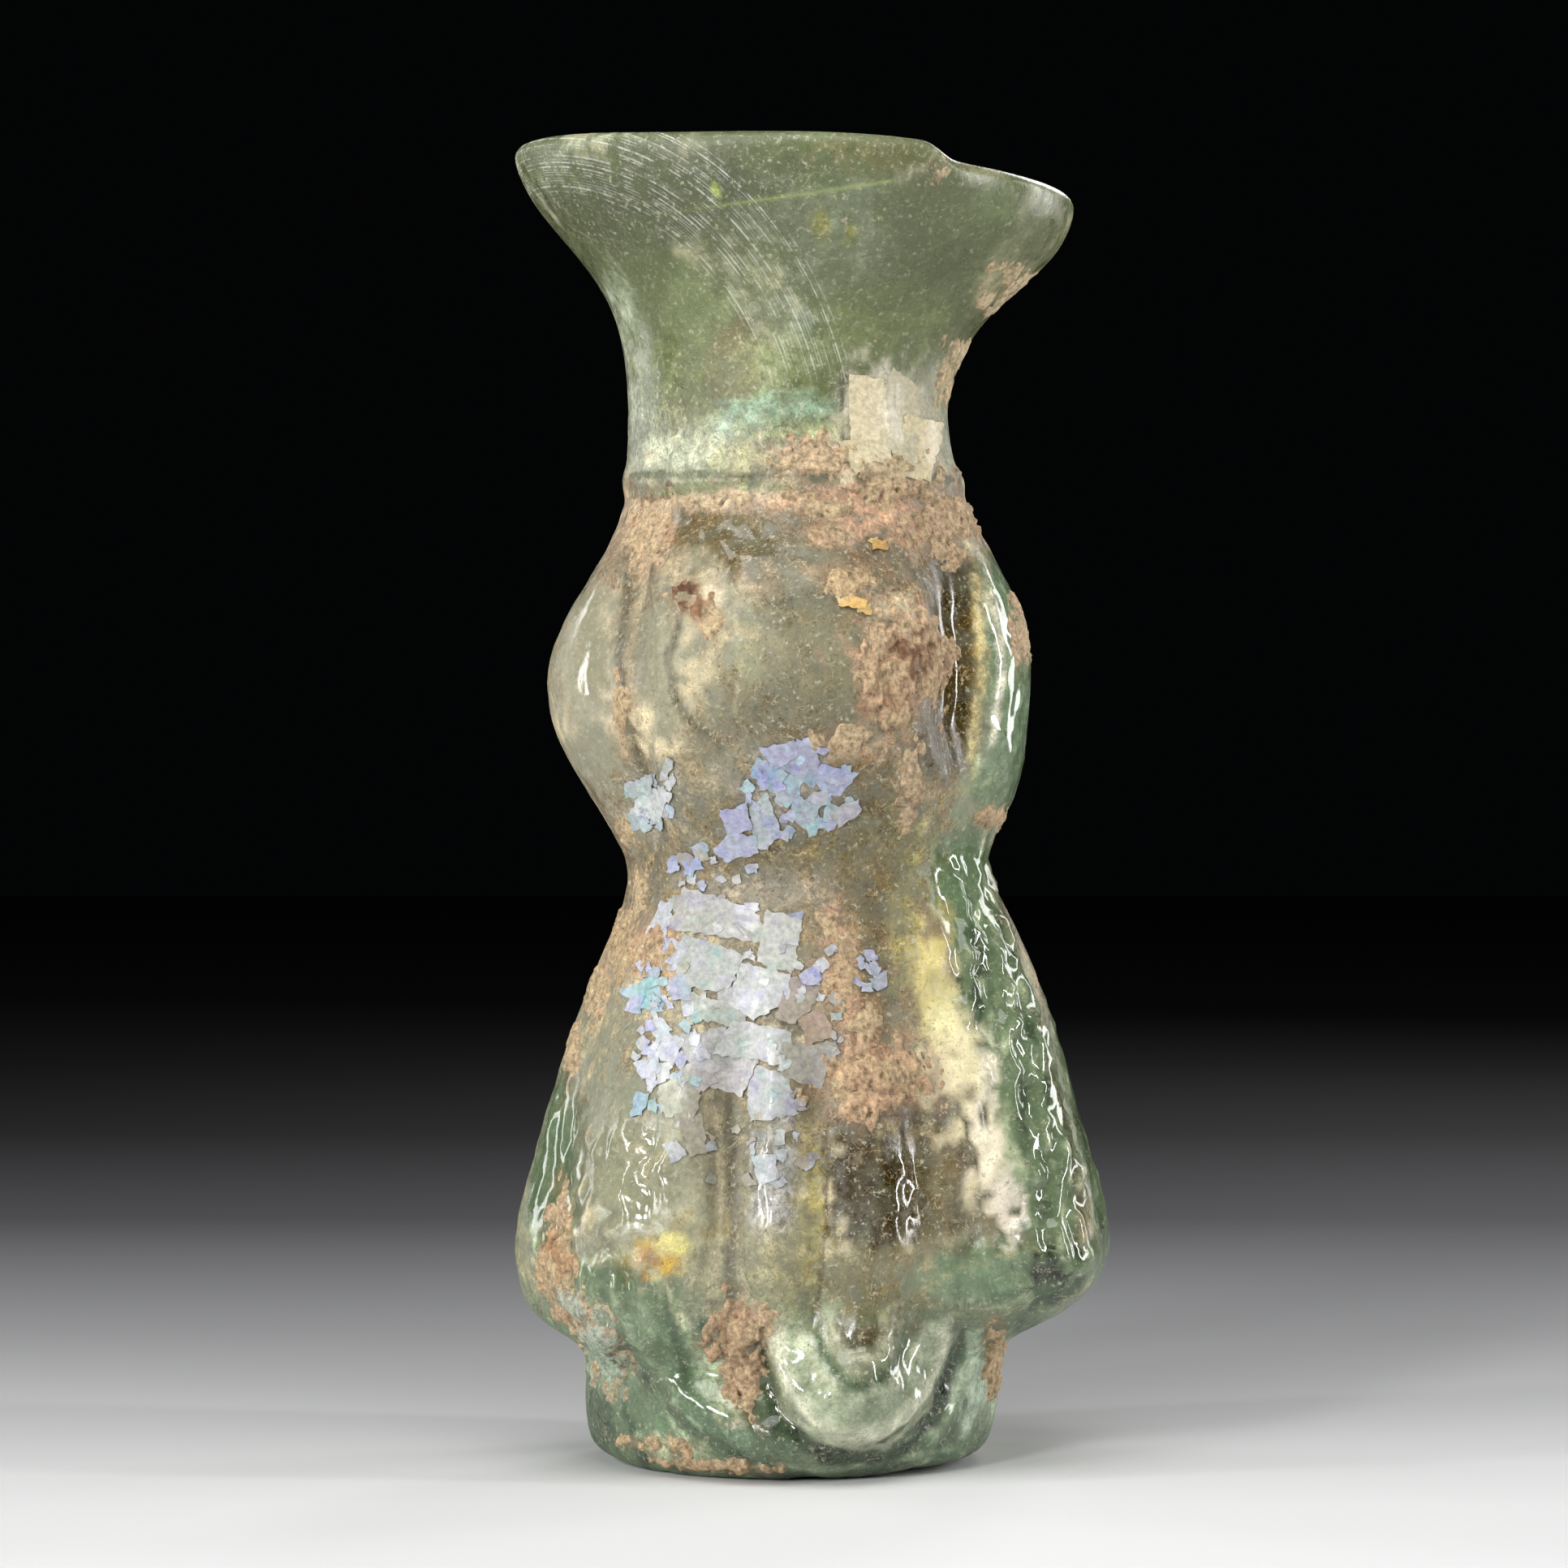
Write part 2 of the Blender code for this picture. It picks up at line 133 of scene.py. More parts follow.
# A matt card whose colour is painted light: pale under the flask, shading into black behind it as painted
# falloff
floor_painted_light, tree, shader, _ = new_material("matt_floor_painted_falloff")
spot = add(tree, "ShaderNodeTexCoord").outputs["Object"]
back = add(tree, "ShaderNodeSeparateXYZ", {0: spot})
reach = add(tree, "ShaderNodeMapRange", {"Value": back.outputs[1], 1: FLOOR_FALLOFF_SPAN[0] * MM,
                                         2: FLOOR_FALLOFF_SPAN[1] * MM})
shade = add(tree, "ShaderNodeValToRGB", {"Fac": reach.outputs[0]})
shade.color_ramp.elements[0].color = colour(FLOOR_PAINTED_LIT)
shade.color_ramp.elements[1].color = colour(FLOOR_PAINTED_DARK)
for position, tint in FLOOR_PAINTED_FALLOFF:
    stop = shade.color_ramp.elements.new(position)
    stop.color = colour(tint)
tree.links.new(shade.outputs["Color"], shader.inputs["Base Color"])
shader.inputs["Roughness"].default_value = 0.85
floor.data.materials.append(floor_painted_light)


# The wall of the flask: thin green soda glass, blown into a mould, pinched at the corners and pitted in the
# ground. It is the one solid of the part, smoothed, with the unevenness that mould and tongs left in it.
AXIS_ACROSS = -0.9
UNEVENNESS = 0.07
UNEVEN_SPACING = 4.5
PINCH_DEPTH = 0.14
PINCH_SPACING = 1.05
PITTING = 0.05
SPECKLE_SIZE = 0.75
GLASS_IOR = 1.52
GLASS_DEPTH_TINT = "#9cc88c"
GLASS_DEPTH_DENSITY = 260.0
# Under the first of these levels and over the second all of the glass counts as outside
BORE_LEVELS = (3.0, 74.5)
BORE_FLOOR_TOP = 20.0
BORE_FLOOR_RADIUS = 11.5
# Spans in millimetres up the flask: where each begins, from none to full, and ends, from full to none
UNEVEN_SPAN = ((0.2, 2.0), (58.0, 72.0))
SKIRT_SPAN = ((7.0, 12.0), (31.0, 35.0))
PITTED_SPAN = ((9.0, 12.0), (60.0, 64.0))
BLOT_SPAN = ((9.0, 14.0), (56.0, 60.0))
BODY_SPAN = ((9.0, 12.0), (55.0, 58.0))
SIDE_LOBE_SPAN = ((36.0, 39.0), (51.0, 54.0))
CREASE_SPAN = ((38.0, 42.0), (51.0, 54.0))
FOOT_END = (8.6, 10.2)
CLEAR_CORNER_END = (31.0, 36.0)
NECK_START = (56.0, 57.5)
FUNNEL_START = (61.0, 64.0)
LIP_START = (74.0, 75.6)
# The same in degrees round it from the front
RIGHT_CORNER_TURN = ((25.0, 45.0), (75.0, 90.0))
BACK_CORNER_TURN = ((100.0, 110.0), (120.0, 130.0))
SIDE_LOBE_TURN = ((58.0, 66.0), (104.0, 124.0))
# Forms too fine for the solid, on the front: place across and up, half width and half height, and how far
# they stand out, in millimetres
FRONT_FORMS = (
    ((-0.6, 46.6), (6.4, 5.6), 0.40),
    ((-6.2, 51.3), (3.4, 2.6), 0.45),
    ((-1.0, 51.6), (2.6, 1.8), 0.25),
    ((7.6, 46.0), (1.3, 5.0), -0.35),
    ((-9.9, 45.5), (0.7, 6.5), -0.6),
    ((6.0, 38.8), (2.6, 3.2), 0.35),
    ((-5.6, 37.6), (2.6, 2.4), 0.30),
    ((-7.6, 17.0), (1.5, 4.2), 0.30),
    ((5.2, 15.4), (1.9, 3.6), 0.30),
    ((8.2, 14.6), (0.6, 4.4), -0.30),
    ((9.9, 25.0), (0.7, 7.5), -0.30),
    ((12.2, 27.5), (0.6, 6.0), -0.30),
    ((3.4, 7.0), (1.1, 1.5), 0.30),
    ((-10.6, 9.2), (0.7, 3.2), -0.35),
    ((12.0, 13.0), (2.2, 1.4), 0.25),
)
# The tongue of the drop on the front of the foot: its middle, half width and depth. Its lines and ridges
# lie in rings, from its middle at 0 to its rim at 1: place, colour and cloudiness of the lines, place and
# height of the ridges.
TONGUE_TOP = (2.5, 9.4)
TONGUE_HALF = (5.9, 7.9)
TONGUE_LINES = (
    (0.00, "#8b8468", 0.92),
    (0.16, "#463c24", 0.94),
    (0.25, "#b7b497", 0.94),
    (0.34, "#9a9c82", 0.90),
    (0.44, "#3a4f3c", 0.88),
    (0.54, "#a9af94", 0.91),
    (0.70, "#98a287", 0.88),
    (0.84, "#d2d1b8", 0.94),
    (0.90, "#4a6048", 0.84),
    (0.96, "#152219", 0.92),
    (1.06, "#2f4736", 0.80),
    (1.16, "#5f775c", 0.76),
    (1.26, "#263c2d", 0.82),
    (1.40, "#56705a", 0.72),
    (1.55, "#2d4636", 0.80),
    (1.75, "#5c7459", 0.74),
)
TONGUE_RELIEF = ((0.0, 0.14), (0.20, -0.08), (0.30, 0.12), (0.47, -0.12), (0.60, 0.06), (0.84, 0.20),
                 (0.97, -0.24), (1.10, 0.0), (1.18, 0.10), (1.26, -0.10), (1.40, 0.06), (1.60, 0.0))
# Where tongs and mould left the glass rippled and shiny: place, half sizes and the ripples' depth. The last
# one is only shiny.
RIPPLED_PLACES = (
    ((-10.4, 17.4), (2.8, 3.8), 0.34),
    ((-11.2, 9.8), (2.0, 4.2), 0.36),
    ((-14.6, 17.0), (1.8, 6.5), 0.26),
    ((8.8, 33.5), (1.8, 3.0), 0.24),
    ((8.4, 29.4), (1.6, 4.6), 0.26),
    ((10.4, 27.0), (2.0, 7.5), 0.34),
    ((12.6, 20.5), (1.9, 7.5), 0.36),
    ((14.0, 15.0), (1.8, 5.0), 0.32),
    ((-2.6, 17.0), (1.4, 3.2), 0.26),
    ((5.0, 16.6), (1.4, 3.4), 0.24),
    ((2.0, 5.4), (8.6, 4.4), 0.14),
    ((10.4, 46.6), (1.8, 7.5), 0.07),
    ((-12.9, 46.8), (1.2, 5.5), 0.06),
    ((-5.6, 53.0), (4.0, 2.2), 0.16),
    ((8.0, 46.8), (1.9, 5.6), 0.0),
)


def points_mm(piece):
    """Every vertex of a piece in millimetres."""
    flat = np.empty(3 * len(piece.data.vertices), np.float32)
    piece.data.vertices.foreach_get("co", flat)
    return flat.reshape(-1, 3) / MM


def set_points(piece, points):
    """Moves every vertex of a piece to its point in millimetres."""
    piece.data.vertices.foreach_set("co", (points * MM).ravel().astype(np.float32))
    piece.data.update()


def normals_of(piece):
    """The outward direction at every vertex of a piece."""
    flat = np.empty(3 * len(piece.data.vertices), np.float32)
    piece.data.vertex_normals.foreach_get("vector", flat)
    return flat.reshape(-1, 3)


def grain(points, size, seed=0.0):
    """Noise from -1 to 1 at each point, with lumps of about the given size in millimetres."""
    offset = Vector((seed, 2.0 * seed, 3.0 * seed))
    return np.array([noise.noise(Vector(p) / size + offset) for p in points.tolist()])


def ease(low, high, values):
    """0 up to the low value, 1 from the high one, and a smooth rise between."""
    share = np.clip((values - low) / (high - low), 0.0, 1.0)
    return share * share * (3.0 - 2.0 * share)


def within(values, begin, end):
    """1 inside a span, 0 outside it, with a smooth rise where it begins and a smooth fall where it ends."""
    return ease(*begin, values) * (1.0 - ease(*end, values))


def faces_front(points):
    """1 on the front half of the flask, 0 on the back half."""
    return ease(-1.5, 1.5, -points[:, 1])


def in_oval(points, place, half_sizes, ragged=0.0, softness=0.3):
    """1 well inside an oval on the front, 0 outside it, with a soft and perhaps ragged edge."""
    reach = np.hypot((points[:, 0] - place[0]) / half_sizes[0], (points[:, 2] - place[1]) / half_sizes[1])
    return np.clip((1.0 - reach - ragged) / softness + 0.5, 0.0, 1.0) * faces_front(points)


def select_only(piece):
    """Selects one piece alone and makes it the active one."""
    bpy.ops.object.select_all(action="DESELECT")
    piece.select_set(True)
    bpy.context.view_layer.objects.active = piece


def apply_modifier(piece, name, kind, **settings):
    """Adds a modifier and applies it."""
    modifier = piece.modifiers.new(name, kind)
    for key, value in settings.items():
        setattr(modifier, key, value)
    select_only(piece)
    bpy.ops.object.modifier_apply(modifier=name)


def paint(piece, name, values):
    """Stores one value, or one colour, for each vertex of a piece."""
    if values.ndim == 1:
        layer = piece.data.attributes.new(name, "FLOAT", "POINT")
        layer.data.foreach_set("value", values.astype(np.float32))
    else:
        layer = piece.data.attributes.new(name, "FLOAT_COLOR", "POINT")
        rgba = np.concatenate([np.clip(values, 0.0, 1.0), np.ones((len(values), 1))], axis=1)
        layer.data.foreach_set("color", rgba.ravel().astype(np.float32))


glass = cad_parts["flask"].copy()
glass.data = glass.data.copy()
glass.name = glass.data.name = "glass_wall"
glass.parent = None
bpy.context.scene.collection.objects.link(glass)
glass.data.materials.clear()
select_only(glass)
bpy.ops.object.mode_set(mode="EDIT")
bpy.ops.mesh.select_all(action="SELECT")
bpy.ops.mesh.remove_doubles(threshold=0.002 * MM)
bpy.ops.mesh.tris_convert_to_quads(face_threshold=math.radians(50.0), shape_threshold=math.radians(120.0))
bpy.ops.mesh.normals_make_consistent(inside=False)
bpy.ops.object.mode_set(mode="OBJECT")
apply_modifier(glass, "smooth", "SUBSURF", levels=2, render_levels=2)
select_only(glass)
bpy.ops.object.shade_smooth()

places = points_mm(glass)
outward = normals_of(glass)
across, depth, up = places.T
from_axis = np.hypot(across - AXIS_ACROSS, depth)
direction = np.degrees(np.arctan2(across - AXIS_ACROSS, -depth))
# The bore's faces look at the axis and the outside's away from it; lip and foot count as outside
looks_out = outward[:, 0] * (across - AXIS_ACROSS) + outward[:, 1] * depth
over_base = up > BORE_LEVELS[0]
floor_of_bore = (outward[:, 2] > 0.3) & (up < BORE_FLOOR_TOP) & (from_axis < BORE_FLOOR_RADIUS) & over_base
inner = ((looks_out < 0.0) & over_base & (up < BORE_LEVELS[1])) | floor_of_bore
outer = ~inner

# The tongue on the foot is drawn as rings about its upper middle
ring_place = np.hypot((across - TONGUE_TOP[0]) / TONGUE_HALF[0], (up - TONGUE_TOP[1]) / TONGUE_HALF[1])
coarse = grain(places, UNEVEN_SPACING, 1.0)
lumps = grain(places, PINCH_SPACING, 2.0)
speckle = grain(places, SPECKLE_SIZE, 3.0)
ring_place += 0.05 * lumps + 0.03 * coarse
on_foot = ease(-2.0, 2.0, -depth) * (1.0 - ease(*FOOT_END, up + 0.5 * coarse)) * outer

outside_move = UNEVENNESS * coarse * within(up, *UNEVEN_SPAN)
corner_right = within(direction, *RIGHT_CORNER_TURN)
corner_back = within(np.abs(direction), *BACK_CORNER_TURN)
pinched = within(up, *SKIRT_SPAN) * np.maximum(corner_right, corner_back)
outside_move += PINCH_DEPTH * lumps * pinched
outside_move += PITTING * (lumps + 0.6 * speckle) * within(up, *PITTED_SPAN)
outside_move += on_foot * np.interp(ring_place, *zip(*TONGUE_RELIEF))
for place, half_sizes, out in FRONT_FORMS:
    outside_move += out * in_oval(places, place, half_sizes, softness=0.7)
for place, half_sizes, ripple in RIPPLED_PLACES:
    outside_move += ripple * lumps * in_oval(places, place, half_sizes, softness=0.6)
places += outward * np.where(outer, outside_move, 0.0)[:, None]
set_points(glass, places)

# Weathering is painted on the vertices: the film's colour, how far it clouds the glass, how dull and how
# blotched it is, and the tint of the light that comes through. Going up the flask, all round: level, film
# colour, cloudiness
ROUND_FLASK = (
    (0.0, "#48614a", 0.76),
    (7.5, "#64785a", 0.74),
    (11.0, "#78785a", 0.78),
    (16.0, "#7f7858", 0.86),
    (24.0, "#80745a", 0.90),
    (33.0, "#74664a", 0.92),
    (40.0, "#756a50", 0.90),
    (47.0, "#77715a", 0.87),
    (53.0, "#8f7a62", 0.92),
    (57.0, "#a08a70", 0.95),
    (59.0, "#939178", 0.92),
    (62.0, "#69723f", 0.72),
    (66.0, "#515c36", 0.62),
    (72.0, "#39432a", 0.60),
    (76.0, "#434d32", 0.64),
)
# On the front: place across and up, half width and half height in millimetres, colour, cloudiness, strength
FRONT_PATCHES = (
    ((-15.6, 71.2), (1.6, 3.6), "#8b927a", 0.80, 0.5),
    ((-11.8, 65.6), (1.3, 4.6), "#98a088", 0.88, 0.85),
    ((-9.9, 61.0), (1.0, 3.4), "#9aa18a", 0.90, 0.9),
    ((-9.0, 71.6), (5.5, 2.2), "#2c3422", 0.70, 0.8),
    ((-8.6, 73.0), (7.0, 2.4), "#1f2616", 0.76, 0.8),
    ((1.0, 70.0), (5.0, 2.6), "#727a68", 0.68, 0.7),
    ((4.5, 74.6), (4.4, 1.0), "#6a5a38", 0.62, 0.6),
    ((10.6, 70.6), (4.4, 2.8), "#5c6a40", 0.60, 0.6),
    ((-4.5, 67.4), (3.5, 2.8), "#6c7750", 0.62, 0.5),
    ((-2.2, 65.8), (1.9, 1.4), "#7d8a80", 0.70, 0.4),
    ((4.5, 65.2), (3.4, 2.4), "#6f7a45", 0.70, 0.7),
    ((-4.4, 63.2), (2.1, 2.4), "#6b5836", 0.86, 0.85),
    ((-1.4, 63.4), (2.2, 1.0), "#454f2c", 0.70, 0.6),
    ((0.2, 70.7), (0.7, 0.6), "#77762f", 0.90, 0.8),
    ((1.9, 70.4), (0.4, 0.5), "#77762f", 0.90, 0.8),
    ((-5.6, 72.6), (0.28, 0.2), "#b4c65c", 0.90, 0.9),
    ((-2.0, 60.9), (3.4, 1.0), "#a8cfae", 0.94, 0.75),
    ((-4.6, 60.0), (1.8, 0.7), "#c6dfc6", 0.94, 0.8),
    ((-1.0, 59.6), (3.0, 1.0), "#8d9a62", 0.88, 0.6),
    ((3.9, 60.4), (2.6, 3.0), "#dad5bc", 0.98, 1.0),
    ((6.2, 59.2), (1.8, 2.2), "#c6bc9e", 0.95, 0.9),
    ((-7.6, 58.4), (2.8, 1.6), "#bfc4a8", 0.95, 0.9),
    ((-4.0, 58.0), (2.2, 0.9), "#b5b487", 0.92, 0.7),
    ((0.2, 58.0), (2.2, 1.1), "#c4a488", 0.98, 0.9),
    ((-5.0, 56.3), (5.2, 0.4), "#6f7d4e", 0.85, 0.7),
    ((3.2, 54.9), (6.4, 1.7), "#ab8a70", 0.98, 0.9),
    ((-9.4, 53.8), (1.5, 1.9), "#c0a084", 0.98, 0.9),
    ((-4.6, 55.6), (3.4, 0.6), "#c9b296", 0.98, 0.8),
    ((-3.4, 53.0), (4.2, 1.9), "#6f654b", 0.92, 0.9),
    ((3.6, 51.6), (4.0, 1.8), "#665238", 0.95, 0.85),
    ((-2.6, 53.4), (4.8, 2.0), "#655a3c", 0.95, 0.75),
    ((11.2, 45.5), (1.5, 5.6), "#b4bca2", 0.84, 0.8),
    ((12.3, 43.0), (0.9, 5.0), "#8fa088", 0.74, 0.7),
    ((10.4, 39.4), (1.9, 2.2), "#a8b092", 0.82, 0.7),
    ((2.4, 28.2), (1.9, 5.4), "#554522", 0.94, 0.8),
    ((2.8, 37.4), (2.6, 1.8), "#4f4224", 0.94, 0.8),
    ((-7.0, 46.4), (1.9, 3.2), "#d6ccaa", 0.92, 0.65),
    ((-12.7, 45.0), (1.8, 5.0), "#d8d0b8", 0.90, 0.65),
    ((-6.2, 50.2), (1.4, 0.9), "#d9d2b8", 0.92, 0.7),
    # The next two are painted light: the glow of lamplight through the right of the skirt
    ((9.4, 20.4), (1.1, 4.6), "#fffbe6", 0.96, 0.8),
    ((6.9, 28.6), (1.1, 3.2), "#f3eec6", 0.95, 0.7),
    # Painted highlight: pale green on the right of the foot
    ((9.2, 5.0), (1.5, 2.2), "#b5c4aa", 0.86, 0.6),
    ((-3.0, 63.2), (3.0, 1.8), "#8f9868", 0.82, 0.5),
    ((-2.4, 14.6), (1.3, 4.4), "#c4c3b0", 0.90, 0.5),
    ((-6.6, 51.6), (1.4, 1.2), "#b9b094", 0.92, 0.8),
    ((2.4, 45.0), (2.0, 3.4), "#5f5a40", 0.92, 0.6),
    ((0.6, 42.6), (4.0, 1.4), "#6a6248", 0.92, 0.6),
    ((-7.6, 51.8), (1.5, 1.2), "#a59a82", 0.90, 0.7),
    ((-0.4, 46.4), (6.0, 5.0), "#69654a", 0.90, 0.7),
    ((-3.9, 46.6), (0.8, 2.3), "#93946c", 0.80, 0.6),
    ((-8.8, 46.6), (1.7, 3.6), "#848470", 0.80, 0.7),
    ((-10.9, 45.0), (0.6, 5.0), "#b3a58a", 0.90, 0.6),
    ((-13.3, 46.6), (1.7, 5.6), "#8f8878", 0.62, 0.9),
    ((-12.6, 41.2), (1.6, 1.6), "#6b6a5c", 0.60, 0.6),
    ((8.0, 46.4), (1.0, 5.4), "#4f3b10", 0.94, 1.0),
    ((9.0, 47.4), (0.7, 5.0), "#b7a266", 0.80, 0.8),
    # Painted highlight: a pale line down the right lobe of the bulb
    ((10.0, 47.4), (0.5, 4.8), "#d5cfae", 0.80, 0.8),
    ((11.2, 45.4), (1.6, 8.0), "#7c9880", 0.55, 0.9),
    ((5.6, 46.1), (3.0, 3.6), "#a5846a", 0.95, 0.9),
    ((2.3, 41.6), (2.2, 1.0), "#a58c74", 0.95, 0.7),
    ((6.6, 40.4), (2.2, 2.6), "#75623f", 0.92, 0.8),
    ((5.8, 38.9), (0.8, 2.2), "#a5917c", 0.92, 0.7),
    ((8.7, 40.5), (0.6, 3.2), "#969048", 0.80, 0.7),
    ((9.7, 38.0), (1.8, 2.2), "#6d8368", 0.55, 0.8),
    ((-9.3, 38.5), (2.4, 2.4), "#8f8c80", 0.90, 0.7),
    ((-3.4, 41.5), (2.6, 1.2), "#8b826a", 0.90, 0.7),
    ((-5.5, 39.6), (1.6, 1.4), "#98937e", 0.90, 0.6),
    ((0.6, 36.0), (3.6, 1.6), "#6f6440", 0.92, 0.8),
    ((-4.2, 27.6), (3.6, 4.6), "#7a7362", 0.94, 0.85),
    ((-1.6, 38.8), (3.4, 2.6), "#8f8a86", 0.92, 0.7),
    ((1.0, 55.9), (1.3, 0.5), "#3d3a26", 0.95, 0.9),
    ((5.4, 55.6), (1.4, 0.5), "#45402a", 0.95, 0.9),
    # Painted light: the yellow-green start of the glow on the skirt's right
    ((5.6, 36.0), (1.0, 3.2), "#8c8a4a", 0.80, 0.8),
    ((8.0, 34.4), (1.9, 2.6), "#4a6b4c", 0.62, 0.9),
    ((-3.0, 33.6), (4.6, 1.0), "#8b8478", 0.92, 0.7),
    ((4.4, 35.2), (2.8, 3.4), "#66623e", 0.92, 0.7),
    ((3.2, 32.6), (1.9, 3.4), "#6f6038", 0.92, 0.8),
    ((1.3, 29.2), (1.3, 3.6), "#a88d72", 0.95, 0.8),
    ((3.4, 29.6), (1.0, 3.2), "#675531", 0.95, 0.8),
    ((5.2, 31.0), (1.0, 3.0), "#8a8040", 0.85, 0.8),
    ((-11.8, 30.0), (2.2, 2.6), "#a78d6f", 0.92, 0.8),
    ((-9.2, 29.9), (1.3, 1.6), "#b8906c", 0.95, 0.7),
    ((-12.6, 25.0), (2.0, 3.0), "#8b8668", 0.80, 0.7),
    ((-11.2, 20.0), (2.2, 3.4), "#7d8570", 0.70, 0.7),
    ((-14.4, 17.0), (1.2, 5.5), "#6d8f6c", 0.50, 0.9),
    ((-15.2, 17.6), (2.2, 6.6), "#33503a", 0.52, 0.95),
    ((-10.8, 15.2), (1.8, 2.6), "#7f8a72", 0.62, 0.7),
    # The next five are painted light: the cream-white glow of lamplight shining through the skirt's right
    ((6.6, 28.8), (1.2, 3.2), "#d6cb86", 0.92, 0.95),
    ((7.4, 26.0), (0.9, 1.6), "#efe9b4", 0.92, 0.9),
    ((8.2, 22.6), (1.1, 3.6), "#f2ecc2", 0.94, 0.95),
    ((9.7, 18.2), (1.0, 3.4), "#f6f0d8", 0.95, 0.95),
    ((10.9, 15.4), (1.0, 2.2), "#f6f0e2", 0.94, 0.95),
    ((4.4, 16.2), (4.6, 5.6), "#5d4f28", 0.93, 0.8),
    ((4.2, 10.6), (3.6, 1.8), "#5f5632", 0.90, 0.75),
    ((3.2, 17.2), (2.7, 4.4), "#34280c", 0.97, 1.0),
    ((5.6, 16.4), (0.9, 3.6), "#3d3018", 0.92, 0.8),
    ((7.2, 16.4), (1.6, 3.6), "#564a28", 0.92, 0.9),
    ((8.2, 16.6), (0.6, 2.2), "#5f5540", 0.90, 0.7),
    ((5.4, 20.8), (3.6, 0.7), "#372a10", 0.94, 0.85),
    ((-8.0, 17.6), (2.0, 4.0), "#9da087", 0.78, 0.8),
    ((-5.6, 19.6), (1.0, 3.6), "#7f7660", 0.85, 0.8),
    ((-4.0, 16.0), (1.0, 5.6), "#6f6a58", 0.85, 0.8),
    ((-2.4, 17.4), (1.3, 3.4), "#b3b5b8", 0.90, 0.9),
    ((-0.2, 15.0), (0.7, 4.4), "#a49a4e", 0.85, 0.8),
    ((-1.0, 12.4), (2.6, 2.2), "#8c8552", 0.82, 0.7),
    ((-5.8, 11.0), (2.0, 3.4), "#a3a389", 0.80, 0.8),
    ((-9.2, 12.8), (1.6, 1.2), "#cba83a", 0.92, 0.95),
    ((-9.6, 12.6), (0.8, 0.7), "#a06a2c", 0.92, 0.85),
    ((-8.2, 13.8), (1.1, 0.6), "#e2dc8a", 0.92, 0.9),
    ((2.6, 11.4), (2.4, 1.8), "#6f6234", 0.85, 0.7),
    ((6.8, 12.4), (3.0, 1.4), "#8f8664", 0.80, 0.6),
    ((9.4, 11.6), (3.6, 1.4), "#6f9474", 0.55, 0.9),
    ((13.4, 11.6), (2.0, 1.7), "#16211c", 0.92, 1.0),
)
